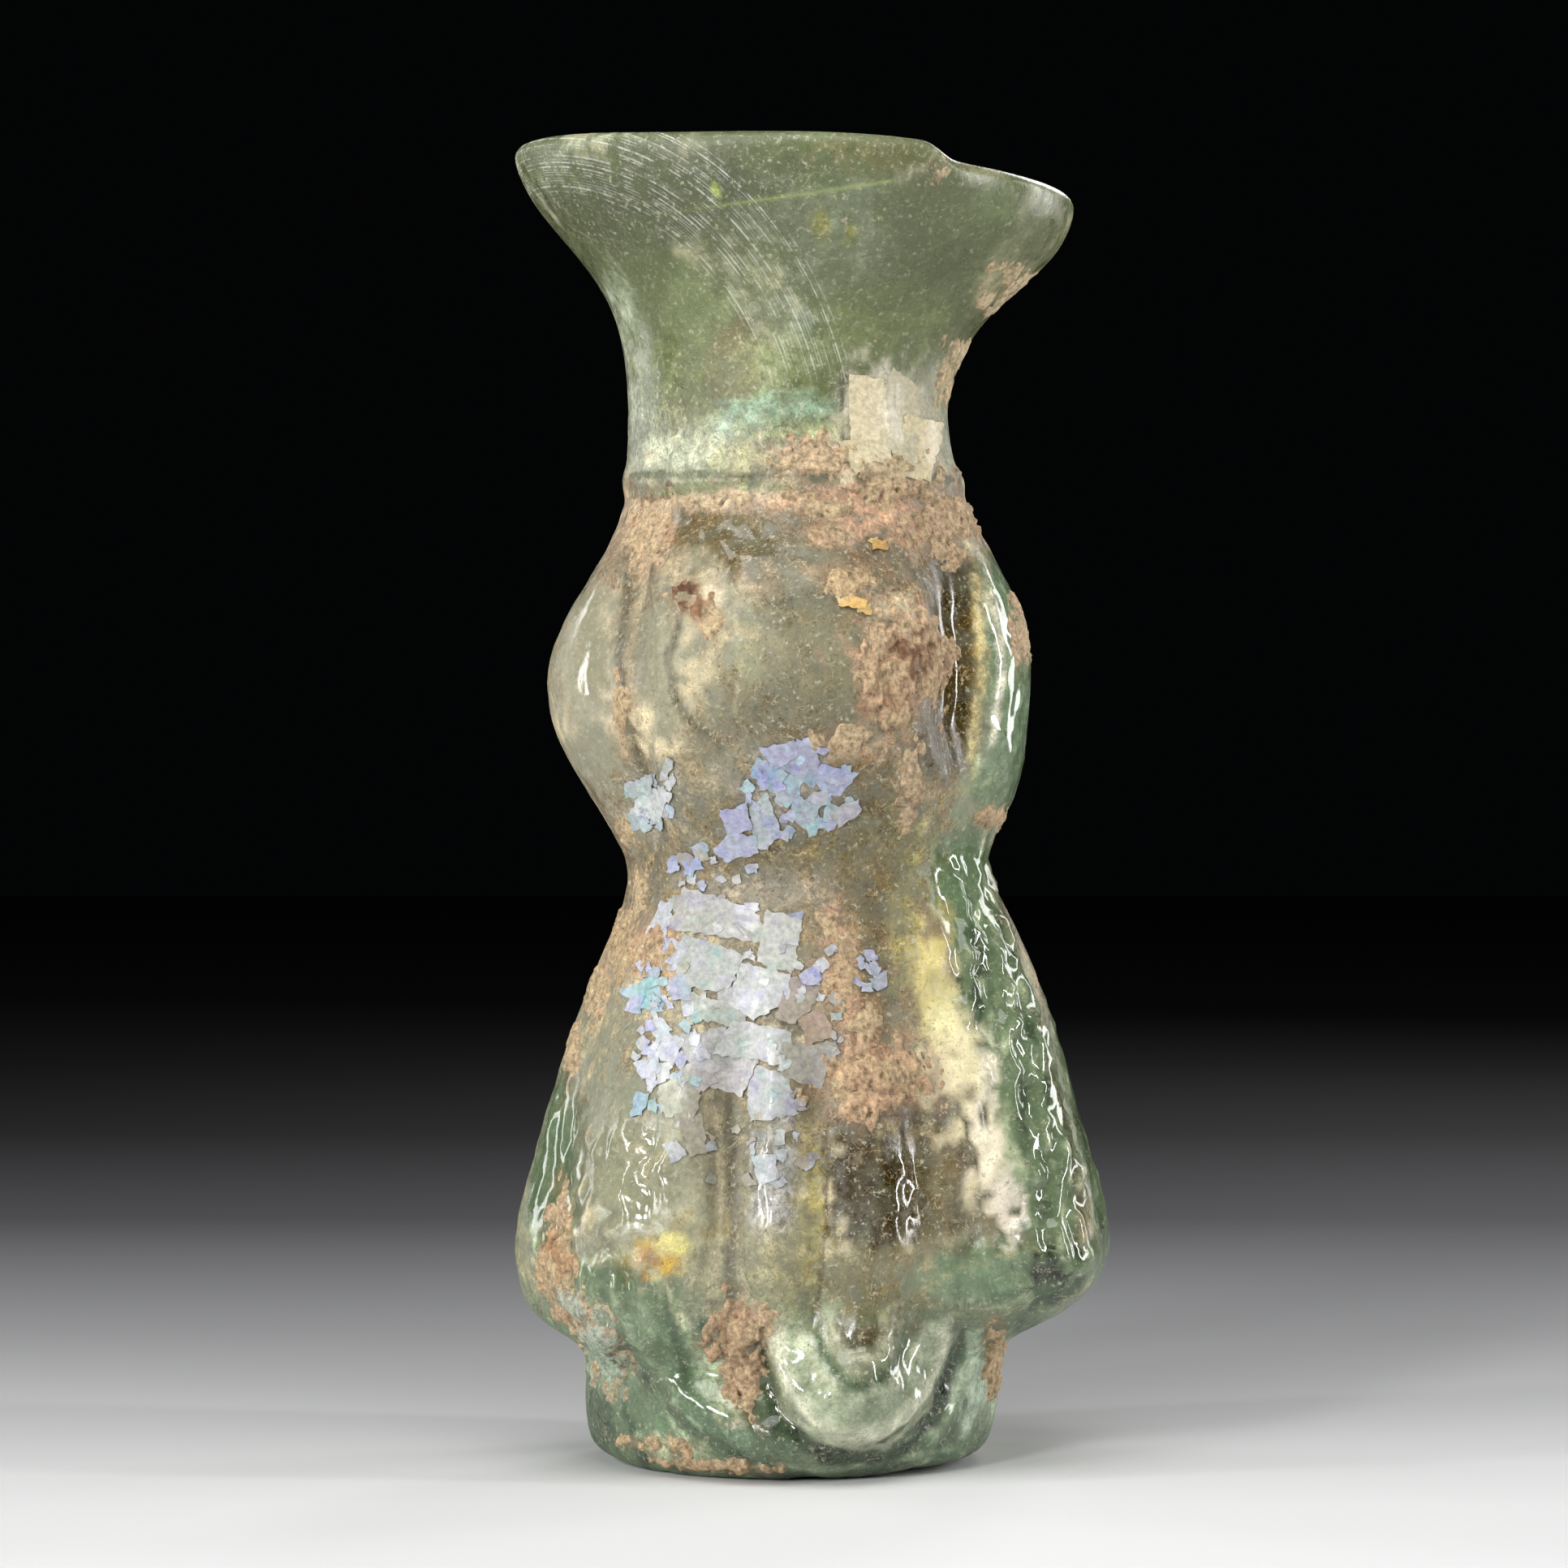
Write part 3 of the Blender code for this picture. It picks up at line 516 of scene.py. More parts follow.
# Lines on the front: the places that they run through, half width, colour, cloudiness, strength
STROKES = (
    (((7.8, 51.2), (7.9, 46.0), (7.3, 41.2)), 1.9, "#3f310d", 0.96, 1.0),
    (((10.9, 33.6), (12.6, 27.0), (14.6, 19.0), (15.2, 14.5)), 0.22, "#4a3a20", 0.92, 0.9),
    (((11.6, 32.0), (13.6, 25.0), (15.6, 17.5)), 0.5, "#95a58e", 0.80, 0.8),
    (((9.6, 30.6), (10.4, 25.0), (11.6, 20.0), (13.0, 14.8)), 0.28, "#2f4234", 0.80, 0.7),
    (((6.9, 51.2), (7.0, 46.0), (6.9, 41.0)), 0.18, "#3a2c0e", 0.95, 0.7),
    (((9.2, 51.2), (9.6, 46.0), (8.9, 41.0)), 0.30, "#cfc28c", 0.92, 0.85),
    # Painted highlight: a near-white line down the right lobe of the bulb
    (((10.2, 50.6), (10.8, 46.0), (10.2, 42.0)), 0.30, "#f0ecdc", 0.90, 0.8),
    (((3.9, 48.4), (6.0, 50.6), (9.0, 52.0)), 0.14, "#3d3320", 0.95, 0.9),
    # Painted shade: a dark line in the crease at the left lobe's edge
    (((-10.7, 51.5), (-11.2, 47.0), (-10.8, 43.0), (-9.8, 40.4)), 0.34, "#4a412a", 0.94, 0.85),
    (((-9.9, 51.0), (-10.5, 47.0), (-10.1, 43.0)), 0.22, "#b3a58a", 0.92, 0.7),
    # Painted shade: a dark line in the crease between the dome and the left lobe
    (((-7.4, 49.6), (-8.4, 46.6), (-7.6, 43.6), (-5.4, 41.6)), 0.30, "#494228", 0.92, 0.8),
    (((-4.6, 49.0), (-4.2, 46.0), (-4.6, 43.6)), 0.18, "#a9a888", 0.90, 0.7),
    (((-3.2, 49.4), (0.6, 50.2), (3.4, 48.8)), 0.22, "#4b4430", 0.92, 0.7),
    (((4.6, 43.0), (2.6, 41.8), (-0.4, 41.4)), 0.26, "#4e4630", 0.92, 0.6),
    (((-9.8, 40.6), (-8.6, 37.0), (-9.2, 34.0)), 0.30, "#5a5140", 0.92, 0.7),
    # Painted shade: a dark line down a flute of the skirt
    (((-5.0, 21.6), (-4.6, 16.0), (-4.8, 9.8)), 0.34, "#4b4433", 0.92, 0.85),
    (((-5.6, 21.0), (-5.4, 15.6), (-5.8, 10.6)), 0.22, "#b3ab90", 0.90, 0.7),
    (((-0.4, 19.6), (-0.2, 14.6), (-0.8, 10.6)), 0.2, "#a0945a", 0.90, 0.7),
    # Painted shade: a dark line down a flute of the skirt
    (((0.5, 20.0), (0.6, 15.0), (0.0, 9.6)), 0.26, "#3f3418", 0.92, 0.8),
    (((6.2, 19.6), (6.0, 15.6), (5.4, 13.0)), 0.18, "#30270f", 0.92, 0.7),
    (((7.0, 20.4), (9.2, 18.6), (9.3, 14.4), (8.2, 12.8)), 0.22, "#4e452c", 0.92, 0.75),
    (((-15.2, 20.0), (-13.9, 22.6), (-12.2, 31.0)), 0.22, "#6d6a4e", 0.90, 0.7),
    (((-13.2, 19.6), (-12.6, 15.0), (-11.4, 13.0)), 0.22, "#55553f", 0.88, 0.7),
    (((-13.6, 12.4), (-10.6, 13.2), (-8.4, 11.4), (-6.6, 7.4), (-4.6, 5.0)), 0.22, "#b9c09a", 0.90, 0.85),
    (((-12.8, 11.6), (-10.6, 12.2), (-9.0, 10.6), (-7.4, 7.0)), 0.32, "#2b4a31", 0.80, 0.8),
    (((3.6, 9.6), (8.0, 12.0), (12.4, 13.4)), 0.24, "#a9a57e", 0.90, 0.7),
    (((6.0, 9.4), (10.0, 10.4), (14.6, 11.2)), 0.30, "#28432f", 0.80, 0.8),
    (((-10.6, 57.4), (-4.0, 57.0), (1.0, 56.9), (8.2, 57.2)), 0.16, "#4c5733", 0.92, 0.8),
    (((-10.2, 2.4), (-5.0, 1.1), (1.0, 0.8), (8.0, 1.5)), 0.20, "#a3b592", 0.88, 0.7),
    (((1.5, 63.0), (1.4, 60.0), (1.9, 57.6)), 0.14, "#6b6a50", 0.96, 0.9),
    (((4.6, 73.4), (6.3, 74.0), (6.9, 75.4)), 0.26, "#a8a58c", 0.90, 0.8),
    (((5.9, 72.8), (6.7, 74.6)), 0.18, "#55503a", 0.90, 0.7),
    # Painted highlight along the top of the rounded lip
    (((-17.0, 74.0), (-14.0, 75.7), (-8.0, 76.4), (0.0, 76.6), (5.4, 76.3)), 0.22, "#9aa184", 0.85, 0.8),
    (((-13.6, 69.0), (-11.6, 65.4), (-10.4, 61.4), (-10.2, 58.4)), 0.5, "#b1b6a2", 0.92, 0.8),
    (((10.6, 66.4), (8.6, 63.6), (7.7, 60.6), (7.8, 58.0)), 0.5, "#a8ab92", 0.92, 0.7),
    (((-16.2, 71.8), (-14.4, 70.2)), 0.4, "#b4b8a0", 0.9, 0.7),
    (((-3.3, 8.2), (-2.4, 3.8), (0.6, 1.5), (4.2, 1.2), (7.0, 3.4), (8.0, 7.2)), 0.34, "#17261b", 0.92, 0.9),
    (((-2.4, 8.2), (-1.6, 4.2), (1.0, 2.4), (4.0, 2.1), (6.2, 4.0), (7.1, 7.2)), 0.30, "#cfd0b2", 0.90, 0.6),
    (((-9.6, 6.2), (-7.4, 3.2), (-3.6, 1.4)), 0.5, "#1d2f22", 0.85, 0.8),
    # Painted highlight: a pale green line on the right of the foot
    (((8.9, 8.2), (9.4, 4.6), (8.6, 2.2)), 0.4, "#c2d6bc", 0.85, 0.7),
    (((10.0, 8.0), (10.4, 4.4)), 0.35, "#22382a", 0.85, 0.7),
)
# The earth that stuck to the front, which also dusts the glass about it: place, half sizes, colour, and
# thickness as a share of the usual one
EARTH_PATCHES = (
    ((11.8, 68.7), (1.3, 0.6), "#dccaa6", 0.4),
    ((10.4, 67.5), (0.8, 0.6), "#dccaa6", 0.4),
    ((8.5, 64.5), (0.9, 0.7), "#dccaa6", 0.4),
    ((7.6, 62.9), (0.5, 1.2), "#d3bf9c", 0.4),
    ((6.9, 73.9), (0.6, 0.5), "#a59c84", 0.35),
    ((0.2, 57.9), (2.0, 0.9), "#c9a88c", 0.8),
    ((4.6, 57.5), (2.4, 0.8), "#bfa78c", 0.8),
    ((-9.6, 54.0), (0.9, 1.5), "#c2a584", 0.6),
    ((-5.6, 55.6), (3.6, 0.35), "#cdb69a", 0.8),
    ((0.4, 55.5), (2.6, 0.6), "#b8937a", 1.0),
    ((3.9, 55.9), (2.4, 0.7), "#bb967a", 1.2),
    ((7.4, 54.8), (1.8, 0.9), "#b8937a", 1.2),
    ((0.6, 53.6), (1.2, 0.4), "#b08c72", 0.8),
    ((5.5, 53.5), (0.7, 0.4), "#a88468", 0.8),
    ((7.6, 52.6), (1.0, 0.6), "#b08c72", 0.8),
    ((1.6, 51.0), (0.9, 0.7), "#c49f74", 0.8),
    ((-7.2, 50.2), (0.9, 0.7), "#6a4b33", 1.3),
    ((-6.4, 49.2), (0.6, 0.7), "#8a6448", 1.1),
    ((-5.8, 48.6), (0.5, 0.6), "#cdb592", 0.9),
    ((5.4, 46.5), (2.2, 2.1), "#c09a7c", 1.2),
    ((4.2, 44.6), (1.1, 1.4), "#b89072", 1.0),
    ((5.9, 48.4), (0.8, 0.9), "#c4a284", 1.0),
    ((5.3, 46.8), (1.1, 1.2), "#7c5940", 1.1),
    ((1.6, 42.0), (1.5, 0.6), "#b59a80", 0.7),
    ((5.4, 39.4), (0.6, 1.9), "#b09880", 0.7),
    ((11.9, 48.6), (0.5, 1.8), "#c9a88c", 0.6),
    ((10.2, 37.6), (0.9, 0.5), "#c4a284", 0.6),
    ((-11.0, 43.6), (0.5, 1.6), "#bfa07c", 0.5),
    ((-10.9, 36.8), (0.4, 0.7), "#b8a080", 0.5),
    ((-10.2, 33.4), (0.4, 1.1), "#b8a080", 0.5),
    ((-11.2, 30.4), (0.6, 1.4), "#b8986f", 0.7),
    ((-12.9, 27.4), (0.6, 1.3), "#bb9c78", 0.8),
    ((-14.2, 24.2), (0.5, 1.1), "#c0a07c", 0.9),
    ((-9.0, 30.0), (0.9, 1.2), "#b8876a", 0.8),
    ((0.8, 31.4), (0.5, 1.0), "#b8967c", 0.9),
    ((1.6, 28.6), (0.7, 1.4), "#b08a6c", 0.9),
    ((2.6, 25.6), (0.7, 1.2), "#b8907a", 0.9),
    ((3.4, 22.9), (2.5, 1.6), "#bf9276", 1.1),
    ((-14.8, 12.6), (0.9, 1.7), "#a8734c", 1.3),
    ((-15.4, 11.2), (0.8, 1.2), "#bb9272", 1.0),
    ((-14.6, 15.0), (0.4, 1.6), "#c4a284", 0.6),
    ((-13.6, 9.6), (1.2, 0.9), "#b0b6a2", 1.3),
    ((-12.4, 8.0), (1.0, 1.2), "#abb5a2", 1.4),
    ((-11.6, 6.2), (1.0, 1.4), "#a2b09a", 1.2),
    ((-14.4, 8.8), (0.9, 0.5), "#b8967c", 0.8),
    ((-4.6, 8.6), (1.3, 1.5), "#9d7660", 1.4),
    ((-4.2, 6.2), (1.1, 1.9), "#9f7a64", 1.4),
    ((-3.0, 9.2), (0.7, 0.7), "#bb9880", 1.2),
    ((-8.6, 1.9), (1.8, 0.45), "#c4a380", 0.8),
    ((-5.6, 0.9), (2.4, 0.35), "#c4a380", 0.8),
    ((10.3, 6.6), (0.5, 1.9), "#bb9f7c", 0.8),
)
EARTH_DUST_REACH = 1.3
EARTH_DUST_SHARE = 0.5
EARTH_DUST_CLOUDINESS = 0.95
# Where the skin is smooth and even, on the front: place, half sizes, how even
EVEN_PLACES = (
    # The first three keep the painted glow on the skirt's right smooth
    ((6.9, 28.6), (1.5, 3.6), 0.8),
    ((8.2, 22.6), (1.8, 4.6), 0.9),
    ((9.8, 17.4), (1.8, 4.6), 0.9),
    ((2.5, 4.6), (5.8, 5.6), 0.6),
    ((-12.9, 45.0), (2.4, 7.0), 0.6),
    ((4.2, 60.4), (3.0, 3.4), 0.7),
    ((-0.5, 45.2), (5.0, 4.4), 0.5),
    ((-7.4, 46.4), (3.2, 5.0), 0.6),
    ((-9.4, 16.6), (4.2, 5.6), 0.55),
    ((5.6, 16.0), (4.8, 5.6), 0.45),
    ((-3.6, 51.8), (5.0, 2.6), 0.4),
)
FUNNEL_EVEN = 0.45
# Thick glass with a clean skin, on the front: place and half sizes
CLEAR_PLACES = (
    ((12.9, 22.0), (3.0, 11.5)),
    ((11.8, 12.0), (5.2, 2.2)),
    ((-15.4, 16.0), (1.5, 6.5)),
    ((-12.2, 11.0), (2.6, 1.6)),
    ((-8.4, 8.6), (3.6, 3.0)),
    ((-6.0, 6.0), (2.6, 2.6)),
    ((8.6, 34.2), (2.0, 2.8)),
    ((9.4, 29.6), (1.9, 4.6)),
    ((10.8, 25.0), (1.7, 4.5)),
    ((11.8, 44.0), (1.8, 8.5)),
)
CLEAR_SHARE = 0.42
CLEAR_CORNER_REACH = (13.8, 15.4)
CLEAR_GREEN = "#607557"
DARK_STREAK = "#26352a"
PALE_STREAK = "#b3c2a2"
STREAK_SIZES = (0.8, 2.2)
# Blots on the body, swirls in the glass of the foot, and painted shade in the creases beside the lobes of
# the bulb
BROWN_BLOT = "#54421f"
BROWN_BLOT_SIZE = 6.5
PALE_BLOT = "#c6bd9e"
PALE_BLOT_SIZE = 5.0
DARK_SWIRL = "#1d2f24"
PALE_SWIRL = "#a9b996"
# Painted shade for the creases, brown
CREASE_PAINTED_SHADE = "#5f543a"
# Direction of each crease from the front and its half width, in degrees
CREASES = ((-54.0, 4.0), (47.0, 4.0), (-128.0, 5.0), (132.0, 5.0))
# Where the film is worn more evenly, on the bulb's left side: place and half sizes
EVENLY_WORN = ((-12.9, 45.0), (2.2, 6.5))
# The shares of its red, green and blue that the body's film loses, which warms it
BODY_WARMING = (0.0, 0.06, 0.12)
NECK_RING_SIZE = 1.6
FUNNEL_BLOTCH_SIZE = 2.2
SKIN_DULLNESS = 0.62
CLEAR_GLOSS = 0.52
FUNNEL_GLOSS = 0.34
SHINY_SHARE = 0.92
LEAST_DULLNESS = 0.02
LIP_DULLNESS = 0.5
# The tint of the light that comes through, by level: yellower in the funnel, bluer where the wall is thick
CORNER_TINT = "#a9c295"
THROUGH_TINTS = ((7.0, CORNER_TINT), (12.0, "#dfe0bc"), (56.0, "#dfe0bc"), (62.0, "#a3ae78"))


def colour_at(table, level):
    """The colour at each level, blended between the rows of a table."""
    levels = [row[0] for row in table]
    tints = [colour(row[1]) for row in table]
    return np.stack([np.interp(level, levels, [tint[part] for tint in tints]) for part in range(3)], axis=1)


def cloudiness_at(table, level):
    """The cloudiness at each level, blended between the rows of a table."""
    return np.interp(level, [row[0] for row in table], [row[2] for row in table])


def blend(values, target, amount):
    """Moves colours or numbers towards a target by an amount for each vertex."""
    share = amount[:, None] if values.ndim == 2 else amount
    return values + share * (np.asarray(target) - values)


def stain(colours, tint, amount):
    """Moves colours towards a tint by an amount for each vertex."""
    return blend(colours, colour(tint)[:3], amount)


def along_line(points, route, half_width, ragged):
    """1 on a line of straight runs that is drawn on the front, 0 beside it, with a soft edge."""
    nearest = np.full(len(points), 1e9)
    spots = points[:, (0, 2)]
    for start, stop in zip(np.array(route), np.array(route)[1:]):
        run = stop - start
        share = np.clip((spots - start) @ run / (run @ run), 0.0, 1.0)
        nearest = np.minimum(nearest, np.linalg.norm(spots - start - share[:, None] * run, axis=1))
    return (1.0 - ease(0.4, 1.3, (nearest + ragged) / half_width)) * faces_front(points)


film = colour_at(ROUND_FLASK, up + 1.5 * coarse)
cloud = cloudiness_at(ROUND_FLASK, up + 1.2 * coarse)
brown_blots = ease(0.12, 0.4, grain(places, BROWN_BLOT_SIZE, 5.0)) * within(up, *BLOT_SPAN)
pale_blots = ease(0.15, 0.4, grain(places, PALE_BLOT_SIZE, 6.0)) * ease(*BLOT_SPAN[0], up)
film = stain(film, BROWN_BLOT, 0.75 * brown_blots)
film = stain(film, PALE_BLOT, 0.7 * pale_blots)

# The thick corners and the lobe on the right stay clearer where nothing lies on them, with streaks that run
# up the flask
lobe_turn = direction + 9.0 * coarse + 6.0 * lumps
lobe_up = up + 1.6 * coarse + 0.9 * lumps
side_lobe = within(lobe_turn, *SIDE_LOBE_TURN) * within(lobe_up, *SIDE_LOBE_SPAN)
clear = ease(*CLEAR_CORNER_REACH, from_axis + 0.5 * coarse + 0.3 * lumps)
clear *= (1.0 - ease(*CLEAR_CORNER_END, up)) * ease(0.0, 3.0, depth)
clear = np.maximum(clear, side_lobe)
for place, half_sizes in CLEAR_PLACES:
    clear = np.maximum(clear, in_oval(places, place, half_sizes, 0.3 * lumps, softness=0.4))
streaks = grain(places * np.array((1.0, 1.0, 0.28)), STREAK_SIZES[0], 7.0)
streaks += 0.6 * grain(places * np.array((1.0, 1.0, 0.4)), STREAK_SIZES[1], 8.0)
film = stain(film, CLEAR_GREEN, 0.92 * clear)
film = stain(film, DARK_STREAK, 0.95 * clear * ease(0.05, 0.4, -streaks))
film = stain(film, PALE_STREAK, 0.9 * clear * ease(0.1, 0.45, streaks))
cloud *= 1.0 - CLEAR_SHARE * clear
cloud += 0.35 * clear * ease(0.1, 0.45, np.abs(streaks))

# The tongue and the foot about it: lines in rings, broken up by swirls that run round them
turn_round = np.arctan2(across - TONGUE_TOP[0], TONGUE_TOP[1] - up)
swirl = grain(np.stack([7.0 * ring_place, 2.2 * turn_round, 0.15 * depth], axis=1), 1.0, 25.0)
film = blend(film, colour_at(TONGUE_LINES, ring_place), on_foot)
cloud = blend(cloud, cloudiness_at(TONGUE_LINES, ring_place), on_foot)
beyond_rim = ease(0.95, 1.05, ring_place)
film = stain(film, DARK_SWIRL, 0.85 * on_foot * beyond_rim * ease(0.05, 0.4, -swirl))
round_tongue = 0.25 + 0.75 * ease(0.98, 1.08, ring_place)
film = stain(film, PALE_SWIRL, 0.75 * round_tongue * on_foot * ease(0.12, 0.45, swirl))
cloud = blend(cloud, 0.9, 0.6 * round_tongue * on_foot * ease(0.1, 0.45, np.abs(swirl)))

# The creases beside the lobes of the bulb are darkened brown with painted shade
for crease, reach in CREASES:
    in_crease = 1.0 - ease(0.3, 1.0, np.abs(direction - crease) / reach)
    film = stain(film, CREASE_PAINTED_SHADE, 0.7 * in_crease * within(up, *CREASE_SPAN))

# The patches, the dust round the earth and the lines, each with a ragged edge
ragged = 0.7 * lumps + 0.55 * speckle
for place, half_sizes, tint, cloudiness, strength in FRONT_PATCHES:
    amount = strength * in_oval(places, place, half_sizes, ragged, softness=0.4)
    film = stain(film, tint, amount)
    cloud = blend(cloud, cloudiness, amount)
for place, half_sizes, tint, _ in EARTH_PATCHES:
    wider = [EARTH_DUST_REACH * half for half in half_sizes]
    amount = EARTH_DUST_SHARE * in_oval(places, place, wider, ragged, softness=0.9)
    film = stain(film, tint, amount)
    cloud = blend(cloud, EARTH_DUST_CLOUDINESS, amount)
for route, half_width, tint, cloudiness, strength in STROKES:
    amount = strength * along_line(places, route, half_width, 0.25 * lumps + 0.15 * speckle)
    film = stain(film, tint, amount)
    cloud = blend(cloud, cloudiness, amount)

# Wear lightens and darkens the film in lumps of three sizes, least where it is bright
bright = ease(0.25, 0.7, film.mean(axis=1))
worn = (0.5 * coarse + 0.4 * lumps + 0.42 * speckle) * (1.0 - 0.6 * in_oval(places, *EVENLY_WORN))
worn *= 1.0 - 0.75 * bright
film *= (1.0 + worn)[:, None]
film *= 1.0 - within(up, *BODY_SPAN)[:, None] * np.array(BODY_WARMING)
in_funnel = ease(*FUNNEL_START, up)
on_neck = ease(*NECK_START, up) * (1.0 - in_funnel)
neck_rings = grain(places * np.array((0.3, 0.3, 2.4)), NECK_RING_SIZE, 24.0)
# Painted shade: the film on the funnel's inside is darkened by four tenths. The neck's film is a little
# darker and ringed.
film *= (1.0 - 0.4 * in_funnel * inner - 0.16 * on_neck + 0.45 * on_neck * neck_rings)[:, None]
film *= (1.0 + in_funnel * (0.5 * coarse + 0.4 * grain(places, FUNNEL_BLOTCH_SIZE, 22.0)))[:, None]
cloud = np.clip(cloud + 0.12 * lumps + 0.16 * in_funnel * coarse, 0.05, 0.98)

# The skin is dull, and clear, rippled and funnel glass keeps more of its gloss, except at the worn lip
shiny = np.zeros(len(places))
for place, half_sizes, _ in RIPPLED_PLACES:
    shiny = np.maximum(shiny, in_oval(places, place, half_sizes, softness=0.8))
dull = SKIN_DULLNESS - CLEAR_GLOSS * clear - FUNNEL_GLOSS * in_funnel
dull = dull * (1.0 - SHINY_SHARE * shiny) + LEAST_DULLNESS
dull = blend(dull, LIP_DULLNESS, ease(*LIP_START, up) * (1.0 - clear))

even = FUNNEL_EVEN * in_funnel
for place, half_sizes, amount in EVEN_PLACES:
    even = np.maximum(even, amount * in_oval(places, place, half_sizes, softness=0.8))
paint(glass, "blotched", 1.0 - even)
paint(glass, "film", film)
paint(glass, "cloud", cloud)
paint(glass, "dull", dull)
paint(glass, "through", stain(colour_at(THROUGH_TINTS, up), CORNER_TINT, clear))

# Blown soda glass under a weathering skin. Where the skin is thin the eye looks into green glass, and where
# it is thick it sees a dull film, mottled and dusted with pale specks, under what gloss is left.
MOTTLE_SIZE = 1.1
DUST_SIZE = 0.3
FIBRE_SIZE = 0.6
PIT_DEPTH = 0.14
DUST_COLOUR = "#b9b59c"
DIRT_COLOUR = "#2f2a1a"
# Fine threads, pale and dark, that wander where the skin peels. They are contours of a noise: its size in
# millimetres, how far it is moved so that no two are alike, and the thread's colour.
THREADS = (
    (2.4, 0.0, "#dcd2b2"),
    (1.9, 40.0, "#33291a"),
    (1.3, 90.0, "#d2c9aa"),
    (1.1, 130.0, "#2f2717"),
)
THREAD_REACH = 0.016
SCRATCH_COLOUR = "#c4c9b8"
SCRATCH_CENTRE = (-17.8, 58.1)
SCRATCH_REACH = (15.0, 20.8)
SCRATCH_SPACING = 0.12
LINE_COLOUR = "#9aa562"
LINE_ENDS = (-11.0, 4.6)
LINE_LEVEL = 72.45
LINE_SLOPE = 0.14
LINE_BEND = 0.005
LINE_HALF_WIDTH = 0.2
weathered_glass, tree, shader, output = new_material("weathered_blown_glass")
spot = add(tree, "ShaderNodeTexCoord").outputs["Object"]
film_colour = add(tree, "ShaderNodeAttribute", attribute_name="film").outputs["Color"]
cloudiness = add(tree, "ShaderNodeAttribute", attribute_name="cloud").outputs["Fac"]
dullness = add(tree, "ShaderNodeAttribute", attribute_name="dull").outputs["Fac"]
through_tint = add(tree, "ShaderNodeAttribute", attribute_name="through").outputs["Color"]
blotching = add(tree, "ShaderNodeAttribute", attribute_name="blotched").outputs["Fac"]
mottle = add(tree, "ShaderNodeTexNoise", {"Vector": spot, "Scale": 1.0 / (MOTTLE_SIZE * MM), "Detail": 7.0,
                                          "Roughness": 0.68})
mottle_light = add(tree, "ShaderNodeMapRange", {"Value": mottle.outputs["Fac"], 1: 0.3, 2: 0.7, 3: 0.3,
                                                4: 1.72})
mottled = add(tree, "ShaderNodeMix", {0: blotching, 6: film_colour, 7: mottle_light.outputs[0]},
              data_type="RGBA", blend_type="MULTIPLY")
fibres = add(tree, "ShaderNodeTexNoise", {"Vector": spot, "Scale": 1.0 / (FIBRE_SIZE * MM), "Detail": 6.0,
                                          "Roughness": 0.75, "Distortion": 2.2})
fibre_light = add(tree, "ShaderNodeMapRange", {"Value": fibres.outputs["Fac"], 1: 0.32, 2: 0.68, 3: 0.34,
                                               4: 1.62})
mottled = add(tree, "ShaderNodeMix", {0: blotching, 6: mottled.outputs[2], 7: fibre_light.outputs[0]},
              data_type="RGBA", blend_type="MULTIPLY")
dust = add(tree, "ShaderNodeTexNoise", {"Vector": spot, "Scale": 1.0 / (DUST_SIZE * MM), "Detail": 3.0,
                                        "Roughness": 0.7})
peeling = add(tree, "ShaderNodeMapRange", {"Value": mottle.outputs["Fac"], 1: 0.47, 2: 0.57, 3: 0.0,
                                           4: 0.38})
threaded = mottled.outputs[2]
for size, offset, tint in THREADS:
    moved = add(tree, "ShaderNodeVectorMath", {0: spot, 1: (offset * MM, 0.0, 0.0)}, operation="ADD")
    wander = add(tree, "ShaderNodeTexNoise", {"Vector": moved.outputs[0], "Scale": 1.0 / (size * MM),
                                              "Detail": 3.5, "Roughness": 0.55, "Distortion": 1.6})
    from_contour = add(tree, "ShaderNodeMath", {0: wander.outputs["Fac"], 1: 0.5}, operation="SUBTRACT")
    from_contour = add(tree, "ShaderNodeMath", {0: from_contour.outputs[0]}, operation="ABSOLUTE")
    thread = add(tree, "ShaderNodeMapRange", {"Value": from_contour.outputs[0], 1: 0.0, 2: THREAD_REACH,
                                              3: 1.0, 4: 0.0})
    thread = add(tree, "ShaderNodeMath", {0: thread.outputs[0], 1: peeling.outputs[0]}, operation="MULTIPLY")
    threaded = add(tree, "ShaderNodeMix", {0: thread.outputs[0], 6: threaded, 7: colour(tint)},
                   data_type="RGBA").outputs[2]
dust_amount = add(tree, "ShaderNodeMapRange", {"Value": dust.outputs["Fac"], 1: 0.57, 2: 0.68, 3: 0.0,
                                               4: 0.8})
dirt_amount = add(tree, "ShaderNodeMapRange", {"Value": dust.outputs["Fac"], 1: 0.30, 2: 0.42, 3: 0.5,
                                               4: 0.0})
dirty = add(tree, "ShaderNodeMix", {0: dirt_amount.outputs[0], 6: threaded, 7: colour(DIRT_COLOUR)},
            data_type="RGBA")
dusted = add(tree, "ShaderNodeMix", {0: dust_amount.outputs[0], 6: dirty.outputs[2], 7: colour(DUST_COLOUR)},
             data_type="RGBA")
